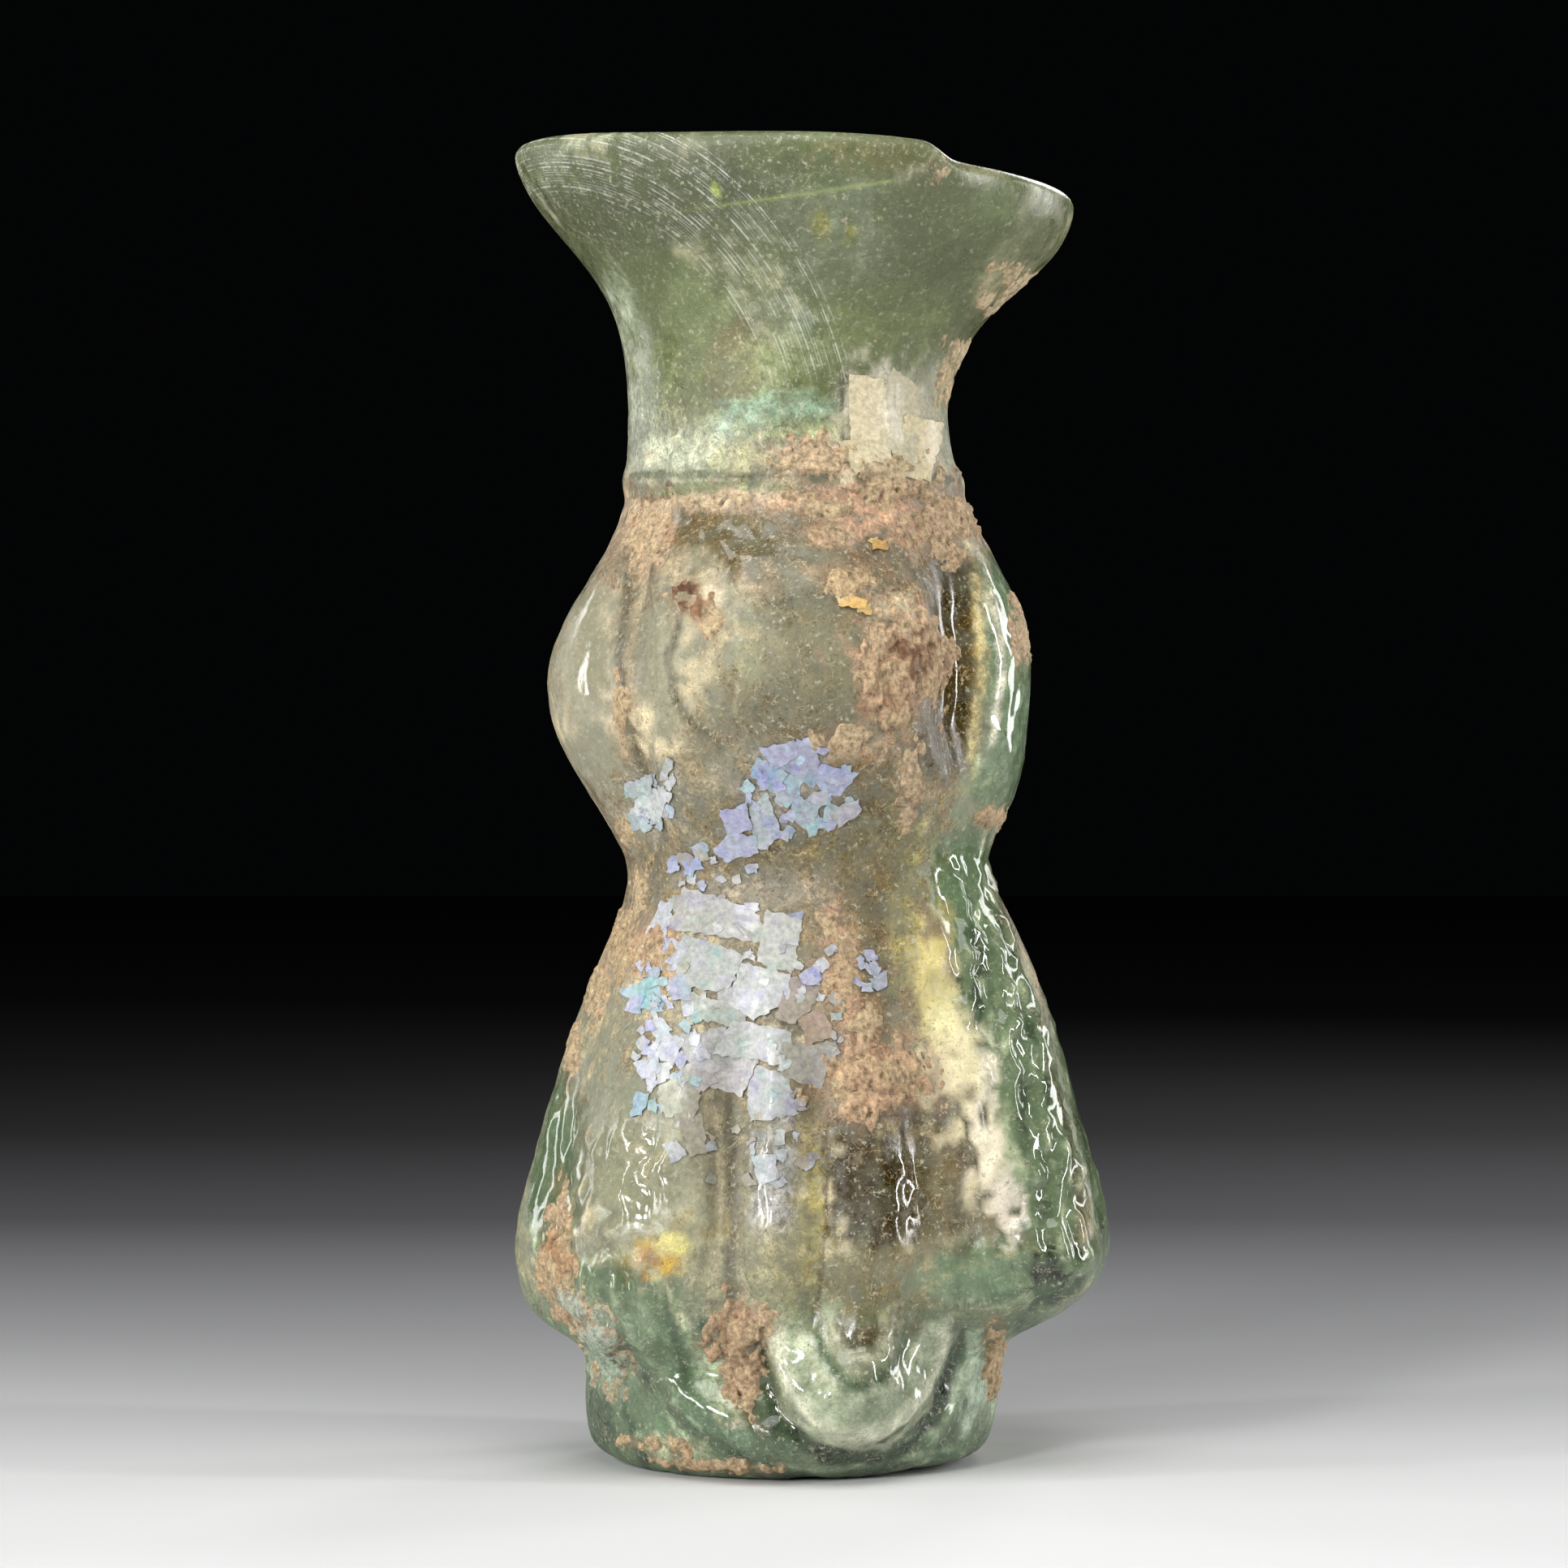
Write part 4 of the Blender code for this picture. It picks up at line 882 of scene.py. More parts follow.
# Curved hair scratches on the front of the funnel: pale rings about a point on its left
across_up = add(tree, "ShaderNodeSeparateXYZ", {0: spot})
from_centre = add(tree, "ShaderNodeCombineXYZ", {0: across_up.outputs[0], 2: across_up.outputs[2]})
ring_centre = (SCRATCH_CENTRE[0] * MM, 0.0, SCRATCH_CENTRE[1] * MM)
from_centre = add(tree, "ShaderNodeVectorMath", {0: from_centre.outputs[0], 1: ring_centre},
                  operation="DISTANCE")
ring = add(tree, "ShaderNodeCombineXYZ", {0: from_centre.outputs["Value"]})
rings = add(tree, "ShaderNodeTexNoise", {"Vector": ring.outputs[0], "Scale": 1.0 / (SCRATCH_SPACING * MM),
                                         "Detail": 2.0})
lines = add(tree, "ShaderNodeMapRange", {"Value": rings.outputs["Fac"], 1: 0.48, 2: 0.61, 3: 0.0, 4: 0.75})
near = add(tree, "ShaderNodeMapRange", {"Value": from_centre.outputs["Value"], 1: SCRATCH_REACH[0] * MM,
                                        2: (SCRATCH_REACH[0] + 1.0) * MM})
far = add(tree, "ShaderNodeMapRange", {"Value": from_centre.outputs["Value"],
                                       1: (SCRATCH_REACH[1] - 0.6) * MM, 2: SCRATCH_REACH[1] * MM,
                                       3: 1.0, 4: 0.0})
funnel_only = add(tree, "ShaderNodeMapRange", {"Value": across_up.outputs[2], 1: FUNNEL_START[0] * MM,
                                               2: FUNNEL_START[1] * MM})
in_front = add(tree, "ShaderNodeMath", {0: across_up.outputs[1], 1: 0.0}, operation="LESS_THAN")
broken = add(tree, "ShaderNodeMapRange", {"Value": mottle.outputs["Fac"], 1: 0.42, 2: 0.55})
scratch = lines.outputs[0]
for limit in (near, far, funnel_only, in_front, broken):
    scratch = add(tree, "ShaderNodeMath", {0: scratch, 1: limit.outputs[0]}, operation="MULTIPLY").outputs[0]
scratched = add(tree, "ShaderNodeMix", {0: scratch, 6: dusted.outputs[2], 7: colour(SCRATCH_COLOUR)},
                data_type="RGBA")
# The bright line across the front of the funnel: how far each spot lies above or below the bent line
bent = add(tree, "ShaderNodeMath", {0: across_up.outputs[0], 1: LINE_BEND / MM, 2: LINE_SLOPE},
           operation="MULTIPLY_ADD")
level = add(tree, "ShaderNodeMath", {0: bent.outputs[0], 1: across_up.outputs[0], 2: LINE_LEVEL * MM},
            operation="MULTIPLY_ADD")
off_line = add(tree, "ShaderNodeMath", {0: across_up.outputs[2], 1: level.outputs[0]}, operation="SUBTRACT")
off_line = add(tree, "ShaderNodeMath", {0: off_line.outputs[0]}, operation="ABSOLUTE")
line = add(tree, "ShaderNodeMapRange", {"Value": off_line.outputs[0], 1: 0.0, 2: LINE_HALF_WIDTH * MM,
                                        3: 0.6, 4: 0.0})
line_start = add(tree, "ShaderNodeMapRange", {"Value": across_up.outputs[0], 1: LINE_ENDS[0] * MM,
                                              2: (LINE_ENDS[0] + 7.0) * MM})
line_stop = add(tree, "ShaderNodeMapRange", {"Value": across_up.outputs[0], 1: (LINE_ENDS[1] - 0.6) * MM,
                                             2: LINE_ENDS[1] * MM, 3: 1.0, 4: 0.0})
on_line = line.outputs[0]
for limit in (line_start, line_stop, in_front):
    on_line = add(tree, "ShaderNodeMath", {0: on_line, 1: limit.outputs[0]}, operation="MULTIPLY").outputs[0]
scratched = add(tree, "ShaderNodeMix", {0: on_line, 6: scratched.outputs[2], 7: colour(LINE_COLOUR)},
                data_type="RGBA")
# The skin's thickness hides the glass under it, and scratches, dust and dirt hide some more
marks = add(tree, "ShaderNodeMath", {0: scratch, 1: on_line}, operation="ADD")
marks = add(tree, "ShaderNodeMath", {0: dust_amount.outputs[0], 1: 0.25, 2: marks.outputs[0]},
            operation="MULTIPLY_ADD")
marks = add(tree, "ShaderNodeMath", {0: dirt_amount.outputs[0], 1: 0.15, 2: marks.outputs[0]},
            operation="MULTIPLY_ADD").outputs[0]
thickness = add(tree, "ShaderNodeMapRange", {"Value": mottle.outputs["Fac"], 1: 0.3, 2: 0.7, 3: 0.86,
                                             4: 1.16})
skin = add(tree, "ShaderNodeMath", {0: cloudiness, 1: thickness.outputs[0]}, operation="MULTIPLY")
skin = add(tree, "ShaderNodeMath", {0: skin.outputs[0], 1: marks}, operation="ADD", use_clamp=True)
surface = add(tree, "ShaderNodeMix", {0: skin.outputs[0], 6: through_tint, 7: scratched.outputs[2]},
              data_type="RGBA")
tree.links.new(surface.outputs[2], shader.inputs["Base Color"])
see_through = add(tree, "ShaderNodeMath", {0: 1.0, 1: skin.outputs[0]}, operation="SUBTRACT")
tree.links.new(see_through.outputs[0], shader.inputs["Transmission Weight"])
roughened = add(tree, "ShaderNodeMath", {0: dullness, 1: mottle_light.outputs[0]}, operation="MULTIPLY",
                use_clamp=True)
tree.links.new(roughened.outputs[0], shader.inputs["Roughness"])
pitted = add(tree, "ShaderNodeMath", {0: dust.outputs["Fac"], 1: dullness}, operation="MULTIPLY")
pits = add(tree, "ShaderNodeBump", {"Strength": 0.6, "Distance": PIT_DEPTH * MM,
                                    "Height": pitted.outputs[0]})
tree.links.new(pits.outputs[0], shader.inputs["Normal"])
shader.inputs["IOR"].default_value = GLASS_IOR
depth_tint = add(tree, "ShaderNodeVolumeAbsorption")
depth_tint.inputs["Color"].default_value = colour(GLASS_DEPTH_TINT)
depth_tint.inputs["Density"].default_value = GLASS_DEPTH_DENSITY
tree.links.new(depth_tint.outputs[0], output.inputs["Volume"])
glass.data.materials.append(weathered_glass)

# The film inside: soil and decayed glass that dried on the bore from the neck down, mottled beige, olive
# and brown, opaque. It ends ragged under the neck ring. The lobe on the right and the funnel are free of it.
FILM_TOP = 56.5
FILM_BLOTCH_SIZE = 4.0
FILM_DARK = "#5b4a26"
FILM_HUES = ((0.42, "#8a7434"), (0.52, "#8d8a64"), (0.60, "#a98f6a"))
FILM_PALE = "#c9b78c"
film_inside, tree, shader, _ = new_material("dried_soil_film")
spot = add(tree, "ShaderNodeTexCoord").outputs["Object"]
blotches = add(tree, "ShaderNodeTexNoise", {"Vector": spot, "Scale": 1.0 / (FILM_BLOTCH_SIZE * MM),
                                            "Detail": 5.0, "Roughness": 0.6})
hues = add(tree, "ShaderNodeValToRGB", {"Fac": blotches.outputs["Fac"]})
hues.color_ramp.elements[0].position, hues.color_ramp.elements[0].color = 0.32, colour(FILM_DARK)
hues.color_ramp.elements[1].position, hues.color_ramp.elements[1].color = 0.68, colour(FILM_PALE)
for position, tint in FILM_HUES:
    stop = hues.color_ramp.elements.new(position)
    stop.color = colour(tint)
tree.links.new(hues.outputs["Color"], shader.inputs["Base Color"])
shader.inputs["Roughness"].default_value = 0.6
glass.data.materials.append(film_inside)

vertex_of = np.empty(len(glass.data.loops), np.int32)
glass.data.loops.foreach_get("vertex_index", vertex_of)
starts = np.empty(len(glass.data.polygons), np.int32)
glass.data.polygons.foreach_get("loop_start", starts)
counts = np.empty(len(glass.data.polygons), np.int32)
glass.data.polygons.foreach_get("loop_total", counts)


def over_faces(values):
    """The mean over each face of a value held at the vertices."""
    return np.add.reduceat(values[vertex_of].astype(float), starts) / counts


right_lobe = (side_lobe > 0.3) & (direction > 0.0)
lined = (over_faces(inner) > 0.99) & (over_faces(up + 1.6 * lumps) < FILM_TOP)
lined &= over_faces(right_lobe) < 0.5
glass.data.polygons.foreach_set("material_index", lined.astype(np.int32))

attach(glass, "root")
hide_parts("flask")


# The earth that stuck to the outside: beige and pinkish burial soil, hard and grainy, a few tenths of a
# millimetre thick, in ragged patches on the shoulder, the bulb, the skirt, the funnel's edge and the foot.
EARTH_THICKNESS = 0.30
EARTH_GREY = "#c0ac86"
EARTH_SINK = 0.06
GRAIN_SIZES = (0.42, 0.22)
EDGE_SIZES = (1.4, 0.55, 0.25)
DRIFT_SIZES = (5.0, 1.7, 0.6)
HOLE_SIZE = 0.9
FEWEST_FACES = 6
# All round: level, half height, how much of it is covered
EARTH_BANDS = ((55.2, 2.4, 0.40), (33.5, 3.0, 0.16), (24.0, 6.0, 0.12), (8.0, 2.0, 0.22), (1.0, 1.2, 0.25))
BAND_COLOUR = "#b8967a"
BAND_THICKNESS = 0.8
# Slots in the shoulder's earth, where the dark glass under it shows
EARTH_GAPS = (((1.0, 55.9), (1.1, 0.4)), ((5.4, 55.6), (1.2, 0.4)), ((2.6, 54.2), (0.5, 0.4)))


def earth_cover(points):
    """How far each point lies inside the earth, from 0 at its edge to 1, and its colour and thickness."""
    rough = 0.8 * grain(points, EDGE_SIZES[0], 11.0) + 0.8 * grain(points, EDGE_SIZES[1], 12.0)
    rough += 0.4 * grain(points, EDGE_SIZES[2], 19.0)
    cover = np.zeros(len(points))
    tints = np.tile(np.array(colour(BAND_COLOUR)[:3]), (len(points), 1))
    thickness = np.full(len(points), BAND_THICKNESS)
    for place, half_sizes, tint, share in EARTH_PATCHES:
        amount = in_oval(points, place, half_sizes, rough, softness=0.7)
        cover = np.maximum(cover, amount)
        tints = stain(tints, tint, amount)
        thickness = blend(thickness, share, amount)
    drift = grain(points, DRIFT_SIZES[0], 13.0) + 0.5 * grain(points, DRIFT_SIZES[1], 14.0)
    drift += 0.25 * grain(points, DRIFT_SIZES[2], 15.0)
    behind = ease(-3.0, 3.0, points[:, 1])
    for level, half_height, share in EARTH_BANDS:
        in_band = 1.0 - ease(0.5, 1.0, np.abs(points[:, 2] - level) / half_height)
        cover = np.maximum(cover, np.clip((drift - 0.55 + share) * 3.0, 0.0, 1.0) * in_band * behind)
    for place, half_sizes in EARTH_GAPS:
        cover *= 1.0 - in_oval(points, place, half_sizes, 0.5 * rough, softness=0.4)
    cover *= 1.0 - 0.9 * ease(0.22, 0.42, grain(points, HOLE_SIZE, 23.0))
    # Pale and reddish earth is greyed, and the dark or greenish kinds keep their colour
    pale = ease(0.12, 0.26, tints.mean(axis=1)) * ease(0.0, 0.08, tints[:, 0] - tints[:, 1])
    tints = stain(tints, EARTH_GREY, pale * (0.6 + 0.4 * grain(points, 1.8, 20.0)))
    return cover, tints, thickness


def touching_corners(mesh):
    """The vertices where two patches touch at a corner alone, so that more than two open edges meet."""
    return [vert for vert in mesh.verts if sum(edge.is_boundary for edge in vert.link_edges) > 2]


cover, _, _ = earth_cover(places)
earth = bpy.data.objects.new("stuck_earth", glass.data.copy())
earth.data.name = "stuck_earth"
bpy.context.scene.collection.objects.link(earth)
earth.data.materials.clear()
wanted = (over_faces(outer) > 0.99) & (over_faces(cover) > 0.02)
skin_mesh = bmesh.new()
skin_mesh.from_mesh(earth.data)
skin_mesh.faces.ensure_lookup_table()
bmesh.ops.delete(skin_mesh, geom=[skin_mesh.faces[i] for i in np.flatnonzero(~wanted)], context="FACES")
# Patches that touch at a corner alone are parted there, and crumbs of a few faces have fallen off
corners = touching_corners(skin_mesh)
while corners:
    lost = {face for corner in corners for face in corner.link_faces}
    bmesh.ops.delete(skin_mesh, geom=list(lost), context="FACES")
    corners = touching_corners(skin_mesh)
unmet, lost = set(skin_mesh.faces), []
while unmet:
    patch, front = set(), [unmet.pop()]
    while front:
        face = front.pop()
        patch.add(face)
        beside = {other for edge in face.edges for other in edge.link_faces} & unmet
        unmet -= beside
        front.extend(beside)
    if len(patch) < FEWEST_FACES:
        lost.extend(patch)
bmesh.ops.delete(skin_mesh, geom=lost, context="FACES")
skin_mesh.to_mesh(earth.data)
skin_mesh.free()
for name in ("film", "cloud", "dull", "through", "blotched"):
    earth.data.attributes.remove(earth.data.attributes[name])
apply_modifier(earth, "finer", "SUBSURF", levels=1, render_levels=1)
base, up_from_glass = points_mm(earth), normals_of(earth)
cover, tints, thickness = earth_cover(base)
grains = 0.5 + 0.4 * grain(base, GRAIN_SIZES[0], 16.0) + 0.45 * grain(base, GRAIN_SIZES[1], 17.0)
full_height = EARTH_SINK + EARTH_THICKNESS * thickness * (0.6 + 0.5 * grains)
height = -EARTH_SINK + ease(0.0, 0.9, cover) * full_height
apply_modifier(earth, "closed", "SOLIDIFY", thickness=0.01 * MM, offset=-1.0, use_even_offset=False)
top = base + up_from_glass * height[:, None]
underside = base - up_from_glass * 2.0 * EARTH_SINK
set_points(earth, np.concatenate([top, underside]))
holes = 1.0 - 0.4 * ease(0.2, 0.55, grain(base, 0.5, 18.0))
shade = (0.70 + 0.44 * grains) * holes
paint(earth, "earth", np.concatenate([tints * shade[:, None]] * 2))
select_only(earth)
bpy.ops.object.shade_smooth()

# Dried burial soil: matt, peach to grey beige with darker and redder grains, so the eye sees grit, not paint
GRIT_SIZE = 0.30
GRIT_DEPTH = 0.08
RED_GRAIN_SIZE = 0.55
RED_GRAIN = "#6a4a30"
burial_soil, tree, shader, _ = new_material("dried_burial_soil")
spot = add(tree, "ShaderNodeTexCoord").outputs["Object"]
earth_colour = add(tree, "ShaderNodeAttribute", attribute_name="earth").outputs["Color"]
grit = add(tree, "ShaderNodeTexNoise", {"Vector": spot, "Scale": 1.0 / (GRIT_SIZE * MM), "Detail": 6.0,
                                        "Roughness": 0.8})
grit_light = add(tree, "ShaderNodeMapRange", {"Value": grit.outputs["Fac"], 1: 0.35, 2: 0.65, 3: 0.42,
                                              4: 1.5})
gritty = add(tree, "ShaderNodeMix", {0: 1.0, 6: earth_colour, 7: grit_light.outputs[0]},
             data_type="RGBA", blend_type="MULTIPLY")
red_grains = add(tree, "ShaderNodeTexVoronoi", {"Vector": spot, "Scale": 1.0 / (RED_GRAIN_SIZE * MM)})
red_amount = add(tree, "ShaderNodeMapRange", {"Value": red_grains.outputs["Distance"], 1: 0.16, 2: 0.26,
                                              3: 0.5, 4: 0.0})
reddened = add(tree, "ShaderNodeMix", {0: red_amount.outputs[0], 6: gritty.outputs[2], 7: colour(RED_GRAIN)},
               data_type="RGBA")
tree.links.new(reddened.outputs[2], shader.inputs["Base Color"])
shader.inputs["Roughness"].default_value = 0.9
rough_grit = add(tree, "ShaderNodeBump", {"Strength": 0.7, "Distance": GRIT_DEPTH * MM,
                                          "Height": grit.outputs["Fac"]})
tree.links.new(rough_grit.outputs[0], shader.inputs["Normal"])
earth.data.materials.append(burial_soil)
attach(earth, "root")


# The scales: thin plates of decayed glass that split from the surface and stand a little off it, in odd
# four- and five-sided shapes. They are pearly white on the skirt, lilac and light blue on the waist, and
# gold and cream above.
SCALE_THICKNESS = 0.05
SCALE_LIFT = 0.07
SCALE_LIFT_SPREAD = 0.08
SCALE_LEAN = 0.05
SCALE_TONES = (0.5, 0.78)
SCALE_EDGE_STEP = 0.24
SCALE_OVERLAP = 1.24
CORNER_WANDER = (-0.24, 0.2)
EDGE_WANDER = 0.10
# Each scale is meshed in rings, from its edge at 1 to its middle at 0, and a crumb in fewer of them
RING_SHARES = (1.0, 0.8, 0.55, 0.28, 0.0)
CRUMB_RING_SHARES = (1.0, 0.5, 0.0)
# Place across and up, width and height in millimetres, turn in degrees, colour
SCALES = (
    ((-4.9, 31.8), (4.0, 1.6), -12.0, "#b9b6ab"),
    ((-1.9, 30.5), (1.9, 2.3), -10.0, "#c4c4bb"),
    ((-5.9, 28.9), (3.0, 2.5), -14.0, "#bcc0bd"),
    ((-3.0, 28.0), (2.5, 2.7), -12.0, "#c7cac8"),
    ((-6.0, 26.7), (2.9, 1.1), -10.0, "#aeb1a6"),
    ((-1.0, 27.4), (1.3, 1.8), -14.0, "#b9a896"),
    ((-3.1, 24.9), (3.2, 1.7), -8.0, "#cfd0d0"),
    ((-6.2, 24.4), (1.9, 1.9), 8.0, "#b3aeae"),
    ((-5.0, 23.1), (2.0, 1.5), -14.0, "#c9c3c0"),
    ((-6.9, 22.9), (1.6, 1.4), 20.0, "#b7aea6"),
    ((-2.8, 22.4), (2.0, 2.4), 6.0, "#c9cbd0"),
    ((-0.6, 24.0), (1.9, 1.7), -16.0, "#a8a290"),
    ((0.1, 25.8), (1.3, 1.6), 12.0, "#b39c86"),
    ((-8.7, 31.9), (0.9, 1.9), -18.0, "#cfd0dc"),
    ((-7.7, 32.6), (0.9, 1.0), 10.0, "#c4bcae"),
    ((-7.9, 29.9), (0.9, 1.5), -8.0, "#c3c6d4"),
    ((-7.6, 28.0), (0.9, 1.1), 14.0, "#aab0d4"),
    ((-9.8, 27.4), (1.5, 1.4), 20.0, "#9fd2dc"),
    ((-10.2, 27.0), (0.7, 0.8), -10.0, "#b6b9ee"),
    ((-9.3, 28.7), (0.7, 0.6), 0.0, "#b5c7e6"),
    ((-8.9, 25.6), (1.0, 0.9), 30.0, "#dcdeee"),
    ((-8.4, 24.7), (1.3, 1.1), -25.0, "#d9dbe8"),
    ((-9.3, 23.5), (1.2, 0.8), 25.0, "#d3d8ec"),
    ((-8.5, 23.2), (0.7, 0.9), 0.0, "#e2e2e2"),
    ((-8.2, 21.9), (1.0, 1.7), 22.0, "#c9c8ae"),
    ((-7.2, 21.2), (1.0, 1.8), -20.0, "#bdb298"),
    ((-6.9, 19.6), (0.8, 1.6), 6.0, "#b0a68c"),
    ((-8.0, 19.0), (0.7, 0.8), 30.0, "#d5d7dc"),
    ((-9.9, 21.5), (0.6, 1.1), -10.0, "#92d4ea"),
    ((-1.1, 32.0), (0.9, 0.6), 15.0, "#9ba4d6"),
    ((-0.3, 28.6), (0.8, 0.8), 0.0, "#a3a6cc"),
    ((3.6, 28.3), (0.7, 0.6), 20.0, "#aab2d2"),
    ((3.0, 29.0), (0.5, 0.4), -20.0, "#b9bcd6"),
    ((-1.9, 41.3), (1.2, 1.3), 30.0, "#a8aade"),
    ((-0.7, 40.7), (1.5, 1.4), -28.0, "#aeb2e2"),
    ((0.9, 39.9), (1.9, 1.3), -22.0, "#9fa9dc"),
    ((-2.7, 39.9), (1.5, 1.0), -30.0, "#9ccbe0"),
    ((-1.6, 39.2), (1.3, 1.5), -50.0, "#a3d2e2"),
    ((-0.8, 37.9), (1.1, 1.5), -35.0, "#a9c4dc"),
    ((-4.5, 37.4), (1.4, 1.3), 10.0, "#a3a3d8"),
    ((-3.1, 37.4), (1.3, 2.0), 8.0, "#c4d0dc"),
    ((-4.4, 36.0), (1.8, 1.0), 12.0, "#b6bce4"),
    ((1.8, 38.1), (1.3, 0.9), 20.0, "#a9a6b0"),
    ((0.2, 38.8), (0.9, 0.7), 0.0, "#b3b6cc"),
    ((-10.0, 39.3), (1.1, 0.9), 10.0, "#cfdce2"),
    ((-9.5, 38.4), (1.3, 1.1), -15.0, "#e0e4e6"),
    ((-10.1, 37.5), (0.9, 0.8), 20.0, "#b9d2dc"),
    ((-8.4, 40.4), (0.4, 1.1), -18.0, "#d5d8d8"),
    ((-7.0, 34.9), (1.0, 0.7), 15.0, "#8f9fe0"),
    ((-8.0, 35.2), (0.6, 0.4), 0.0, "#a3b0dc"),
    ((-6.6, 35.9), (0.6, 0.5), 25.0, "#a9b2cc"),
    ((-2.7, 17.9), (0.9, 1.1), 10.0, "#c4c8d2"),
    ((-2.0, 19.6), (0.6, 0.7), 0.0, "#cdd0d0"),
    ((3.6, 53.0), (0.7, 0.5), 10.0, "#ffcc78"),
    ((3.3, 53.3), (0.4, 0.3), 40.0, "#ffe0a0"),
    ((2.2, 49.7), (1.1, 0.6), -15.0, "#ffd080"),
    ((1.5, 50.0), (0.5, 0.6), 30.0, "#ffe8b0"),
    ((2.7, 49.3), (0.5, 0.4), 0.0, "#ffd88c"),
    ((2.9, 60.7), (2.2, 3.9), 5.0, "#fff0c8"),
    ((4.6, 60.8), (1.9, 3.7), -4.0, "#fff3cc"),
    ((3.2, 58.4), (2.6, 1.6), 14.0, "#f8e8bc"),
    ((5.6, 58.9), (1.9, 2.6), -16.0, "#f2e2b4"),
)
glass_surface = BVHTree.FromPolygons((places * MM).tolist(),
                                     [tuple(face.vertices) for face in glass.data.polygons])


def on_front(across_mm, up_mm):
    """The point of the glass that is seen from the front at this place, with its normal."""
    start = Vector((across_mm, -60.0, up_mm)) * MM
    hit, normal, _, _ = glass_surface.ray_cast(start, Vector((0.0, 1.0, 0.0)))
    return hit, normal


def broken_outline(size, turn, chance):
    """The outline of one scale round its centre, in millimetres: a rough four- or five-sided shape."""
    half_width, half_height = (SCALE_OVERLAP * side / 2.0 for side in size)
    corners = [[-half_width, -half_height], [half_width, -half_height], [half_width, half_height],
               [-half_width, half_height]]
    if chance.random() < 0.5:
        cut = chance.randrange(4)
        x, z = corners[cut]
        ends = [[x, 0.3 * z], [0.3 * x, z]]
        corners[cut:cut + 1] = ends if cut in (0, 2) else ends[::-1]
    for corner in corners:
        corner[0] += chance.uniform(*CORNER_WANDER) * size[0]
        corner[1] += chance.uniform(*CORNER_WANDER) * size[1]
    outline = []
    for (x0, z0), (x1, z1) in zip(corners, corners[1:] + corners[:1]):
        steps = max(2, round(math.hypot(x1 - x0, z1 - z0) / SCALE_EDGE_STEP))
        for step in range(steps):
            share = step / steps
            wander = EDGE_WANDER if step else 0.0
            outline.append((x0 + share * (x1 - x0) + chance.uniform(-wander, wander),
                            z0 + share * (z1 - z0) + chance.uniform(-wander, wander)))
    cos_turn, sin_turn = math.cos(math.radians(turn)), math.sin(math.radians(turn))
    return [(x * cos_turn - z * sin_turn, x * sin_turn + z * cos_turn) for x, z in outline]


# Crumbs of the same scales, scattered about them: place, half sizes, how many, colours
CRUMBS = (
    ((-8.4, 25.5), (1.9, 5.5), 42, ("#d9dbe8", "#b6b9ee", "#9fd2dc", "#c9c8ae", "#e4e6ee")),
    ((-2.6, 27.0), (4.4, 6.2), 46, ("#c7cac8", "#b9b6ab", "#b7aea6", "#d3d4d6")),
    ((-1.2, 39.2), (3.4, 2.6), 40, ("#a8aade", "#9fa9dc", "#b6bce4", "#a3d2e2", "#b9c4dc")),
    ((-9.2, 38.6), (1.3, 1.8), 18, ("#e0e4e6", "#cfdce2", "#b9d2dc")),
    ((-6.0, 34.4), (2.6, 1.6), 14, ("#a3b0dc", "#c4bcae", "#cfd0dc")),
    ((2.8, 28.6), (1.3, 1.4), 8, ("#aab2d2", "#b9bcd6")),
    ((-3.4, 19.0), (3.4, 2.6), 16, ("#b0a68c", "#c4c8d2", "#bdb298")),
)
CRUMB_SIZES = (0.22, 0.65)
shell = bmesh.new()
pearl = shell.verts.layers.float_color.new("pearl")
chance = random.Random(41)
all_scales = list(SCALES)
for place, half_sizes, count, tints in CRUMBS:
    for _ in range(count):
        angle, reach = chance.uniform(0.0, math.tau), math.sqrt(chance.random())
        crumb_place = (place[0] + reach * half_sizes[0] * math.cos(angle),
                       place[1] + reach * half_sizes[1] * math.sin(angle))
        crumb_size = (chance.uniform(*CRUMB_SIZES), chance.uniform(*CRUMB_SIZES))
        all_scales.append((crumb_place, crumb_size, chance.uniform(0.0, 90.0), chance.choice(tints)))
for (centre_across, centre_up), size, turn, tint in all_scales:
    outline = broken_outline(size, turn, chance)
    lean = (chance.uniform(-SCALE_LEAN, SCALE_LEAN), chance.uniform(-SCALE_LEAN, SCALE_LEAN))
    lift = SCALE_LIFT + chance.uniform(0.0, SCALE_LIFT_SPREAD)
    tone = chance.uniform(*SCALE_TONES)
    shown = [min(1.0, tone * part) for part in colour(tint)[:3]] + [1.0]
    ring_shares = RING_SHARES if max(size) > CRUMB_SIZES[1] else CRUMB_RING_SHARES
    sides = []
    for sink in (0.0, SCALE_THICKNESS):
        rings = []
        for share in ring_shares:
            ring = []
            for x, z in (outline if share else outline[:1]):
                hit, normal = on_front(centre_across + share * x, centre_up + share * z)
                out = (lift + share * (lean[0] * x + lean[1] * z) - sink) * MM
                vert = shell.verts.new(hit + normal * out)
                vert[pearl] = shown
                ring.append(vert)
            rings.append(ring)
        sides.append(rings)
    count = len(outline)
    for rings in sides:
        for outer_ring, inner_ring in zip(rings, rings[1:]):
            for here in range(count):
                beside = (here + 1) % count
                outer_edge = [outer_ring[here], outer_ring[beside]]
                inner_edge = inner_ring if len(inner_ring) == 1 else [inner_ring[beside], inner_ring[here]]
                shell.faces.new(outer_edge + inner_edge)
    top_rim, under_rim = sides[0][0], sides[1][0]
    for here in range(count):
        beside = (here + 1) % count
        shell.faces.new([top_rim[beside], top_rim[here], under_rim[here], under_rim[beside]])
bmesh.ops.recalc_face_normals(shell, faces=shell.faces)
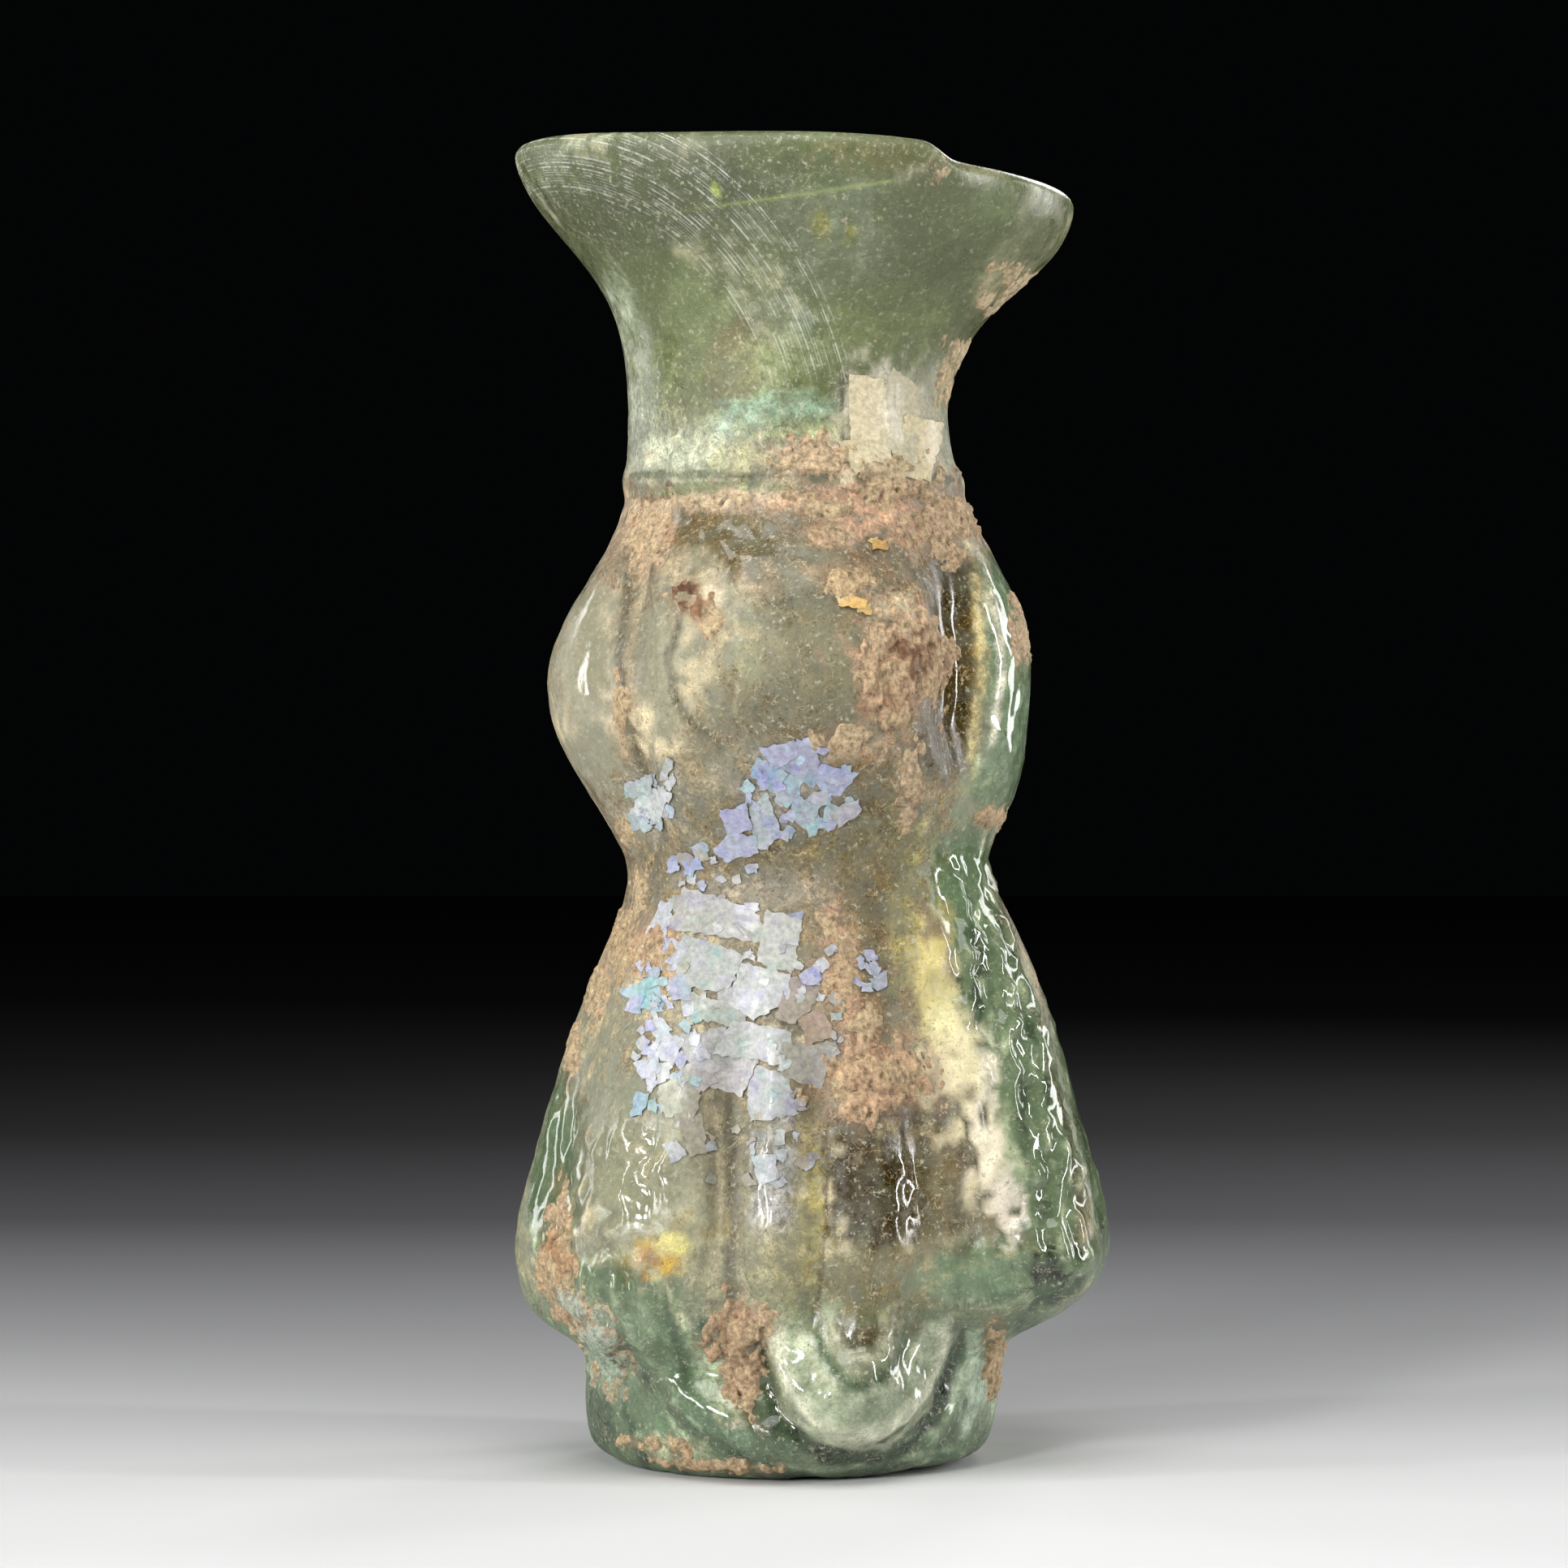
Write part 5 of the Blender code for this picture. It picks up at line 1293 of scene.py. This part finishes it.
scales_mesh = bpy.data.meshes.new("glass_scales")
shell.to_mesh(scales_mesh)
shell.free()
scales = bpy.data.objects.new("glass_scales", scales_mesh)
bpy.context.scene.collection.objects.link(scales)
select_only(scales)
bpy.ops.object.shade_smooth_by_angle(angle=math.radians(40.0))

# Decayed glass in thin leaves: light bends and splits between the leaves, so pearly white turns lilac, blue
# and green from place to place, under a silky gloss
PLAY_SIZE = 1.3
PLAY_START = "#9fa5dc"
PLAY_BETWEEN = ((0.42, "#d9d6dc"), (0.55, "#d6d8cc"), (0.63, "#c4d8c4"))
PLAY_END = "#a9d6d8"
LEAF_THREAD_SIZE = 0.35
LEAF_DEPTH = 0.04
PEARL_IOR = 1.45
pearly_glass, tree, shader, _ = new_material("pearly_decayed_glass")
spot = add(tree, "ShaderNodeTexCoord").outputs["Object"]
pearl_colour = add(tree, "ShaderNodeAttribute", attribute_name="pearl").outputs["Color"]
drift = add(tree, "ShaderNodeTexNoise", {"Vector": spot, "Scale": 1.0 / (PLAY_SIZE * MM), "Detail": 3.0})
play = add(tree, "ShaderNodeValToRGB", {"Fac": drift.outputs["Fac"]})
play.color_ramp.elements[0].position, play.color_ramp.elements[0].color = 0.30, colour(PLAY_START)
play.color_ramp.elements[1].position, play.color_ramp.elements[1].color = 0.72, colour(PLAY_END)
for position, tint in PLAY_BETWEEN:
    stop = play.color_ramp.elements.new(position)
    stop.color = colour(tint)
# Cream and gold plates, redder than they are blue, keep their colour
channels = add(tree, "ShaderNodeSeparateColor", {"Color": pearl_colour})
cool = add(tree, "ShaderNodeMath", {0: channels.outputs[2], 1: channels.outputs[0]}, operation="SUBTRACT")
play_share = add(tree, "ShaderNodeMapRange", {"Value": cool.outputs[0], 1: -0.2, 2: 0.0, 3: 0.0, 4: 0.34})
tinted = add(tree, "ShaderNodeMix", {0: play_share.outputs[0], 6: pearl_colour, 7: play.outputs["Color"]},
             data_type="RGBA")
threads = add(tree, "ShaderNodeTexNoise", {"Vector": spot, "Scale": 1.0 / (LEAF_THREAD_SIZE * MM),
                                           "Detail": 5.0, "Roughness": 0.7})
thread_light = add(tree, "ShaderNodeMapRange", {"Value": threads.outputs["Fac"], 1: 0.35, 2: 0.65, 3: 0.68,
                                                4: 1.14})
marked = add(tree, "ShaderNodeMix", {0: 1.0, 6: tinted.outputs[2], 7: thread_light.outputs[0]},
             data_type="RGBA", blend_type="MULTIPLY")
tree.links.new(marked.outputs[2], shader.inputs["Base Color"])
shader.inputs["Roughness"].default_value = 0.4
shader.inputs["IOR"].default_value = PEARL_IOR
shader.inputs["Coat Weight"].default_value = 0.15
shader.inputs["Coat Roughness"].default_value = 0.15
leaf_bump = add(tree, "ShaderNodeBump", {"Strength": 0.25, "Distance": LEAF_DEPTH * MM,
                                         "Height": threads.outputs["Fac"]})
tree.links.new(leaf_bump.outputs[0], shader.inputs["Normal"])
scales.data.materials.append(pearly_glass)
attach(scales, "root")


# The bubbles: air that the glass sealed in when it was gathered, drawn out a little up the flask. They show
# where the skin is clean. Half a millimetre of glass lies over each, and some under it.
BUBBLE_COUNT = 160
BUBBLE_SIZES = (0.12, 0.34)
BUBBLE_STRETCH = 1.5
BUBBLE_COVER = 0.5
BUBBLE_BED = 0.1
BUBBLE_HAZE_SIZE = 0.4
BUBBLE_WHITE = "#f4f8ee"
BUBBLE_GREEN = "#dfe9d6"
chance = random.Random(17)
bubble_shell = bmesh.new()
clean_spots = np.flatnonzero(outer & (clear > 0.5) & (up > 2.0) & (cloud < 0.75)).tolist()
now_outward = normals_of(glass)
for spot_index in chance.sample(clean_spots, BUBBLE_COUNT):
    radius = chance.uniform(*BUBBLE_SIZES) / 2.0
    inward = Vector((-now_outward[spot_index]).tolist())
    skin_spot = Vector(places[spot_index].tolist()) * MM
    _, _, _, wall = glass_surface.ray_cast(skin_spot + inward * 0.01 * MM, inward)
    if wall is None or wall < (BUBBLE_COVER + 2.0 * BUBBLE_STRETCH * radius + BUBBLE_BED) * MM:
        continue
    made = bmesh.ops.create_icosphere(bubble_shell, subdivisions=1, radius=radius * MM)
    centre = skin_spot + inward * (BUBBLE_COVER + BUBBLE_STRETCH * radius) * MM
    for vert in made["verts"]:
        vert.co.z *= BUBBLE_STRETCH
        vert.co += centre
bubbles_mesh = bpy.data.meshes.new("sealed_bubbles")
bubble_shell.to_mesh(bubbles_mesh)
bubble_shell.free()
bubbles = bpy.data.objects.new("sealed_bubbles", bubbles_mesh)
bpy.context.scene.collection.objects.link(bubbles)
select_only(bubbles)
bpy.ops.object.shade_smooth()
# Air in glass: light bends at its wall as at a bead's, the other way about, so that it shows as a bright
# dot in a dark ring
sealed_air, tree, shader, _ = new_material("air_sealed_in_glass")
spot = add(tree, "ShaderNodeTexCoord").outputs["Object"]
haze = add(tree, "ShaderNodeTexNoise", {"Vector": spot, "Scale": 1.0 / (BUBBLE_HAZE_SIZE * MM),
                                        "Detail": 1.0})
haze_colour = add(tree, "ShaderNodeMix", {0: haze.outputs["Fac"], 6: colour(BUBBLE_WHITE),
                                          7: colour(BUBBLE_GREEN)}, data_type="RGBA")
tree.links.new(haze_colour.outputs[2], shader.inputs["Base Color"])
shader.inputs["Roughness"].default_value = 0.05
shader.inputs["IOR"].default_value = GLASS_IOR
shader.inputs["Transmission Weight"].default_value = 0.9
bubbles.data.materials.append(sealed_air)
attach(bubbles, "root")
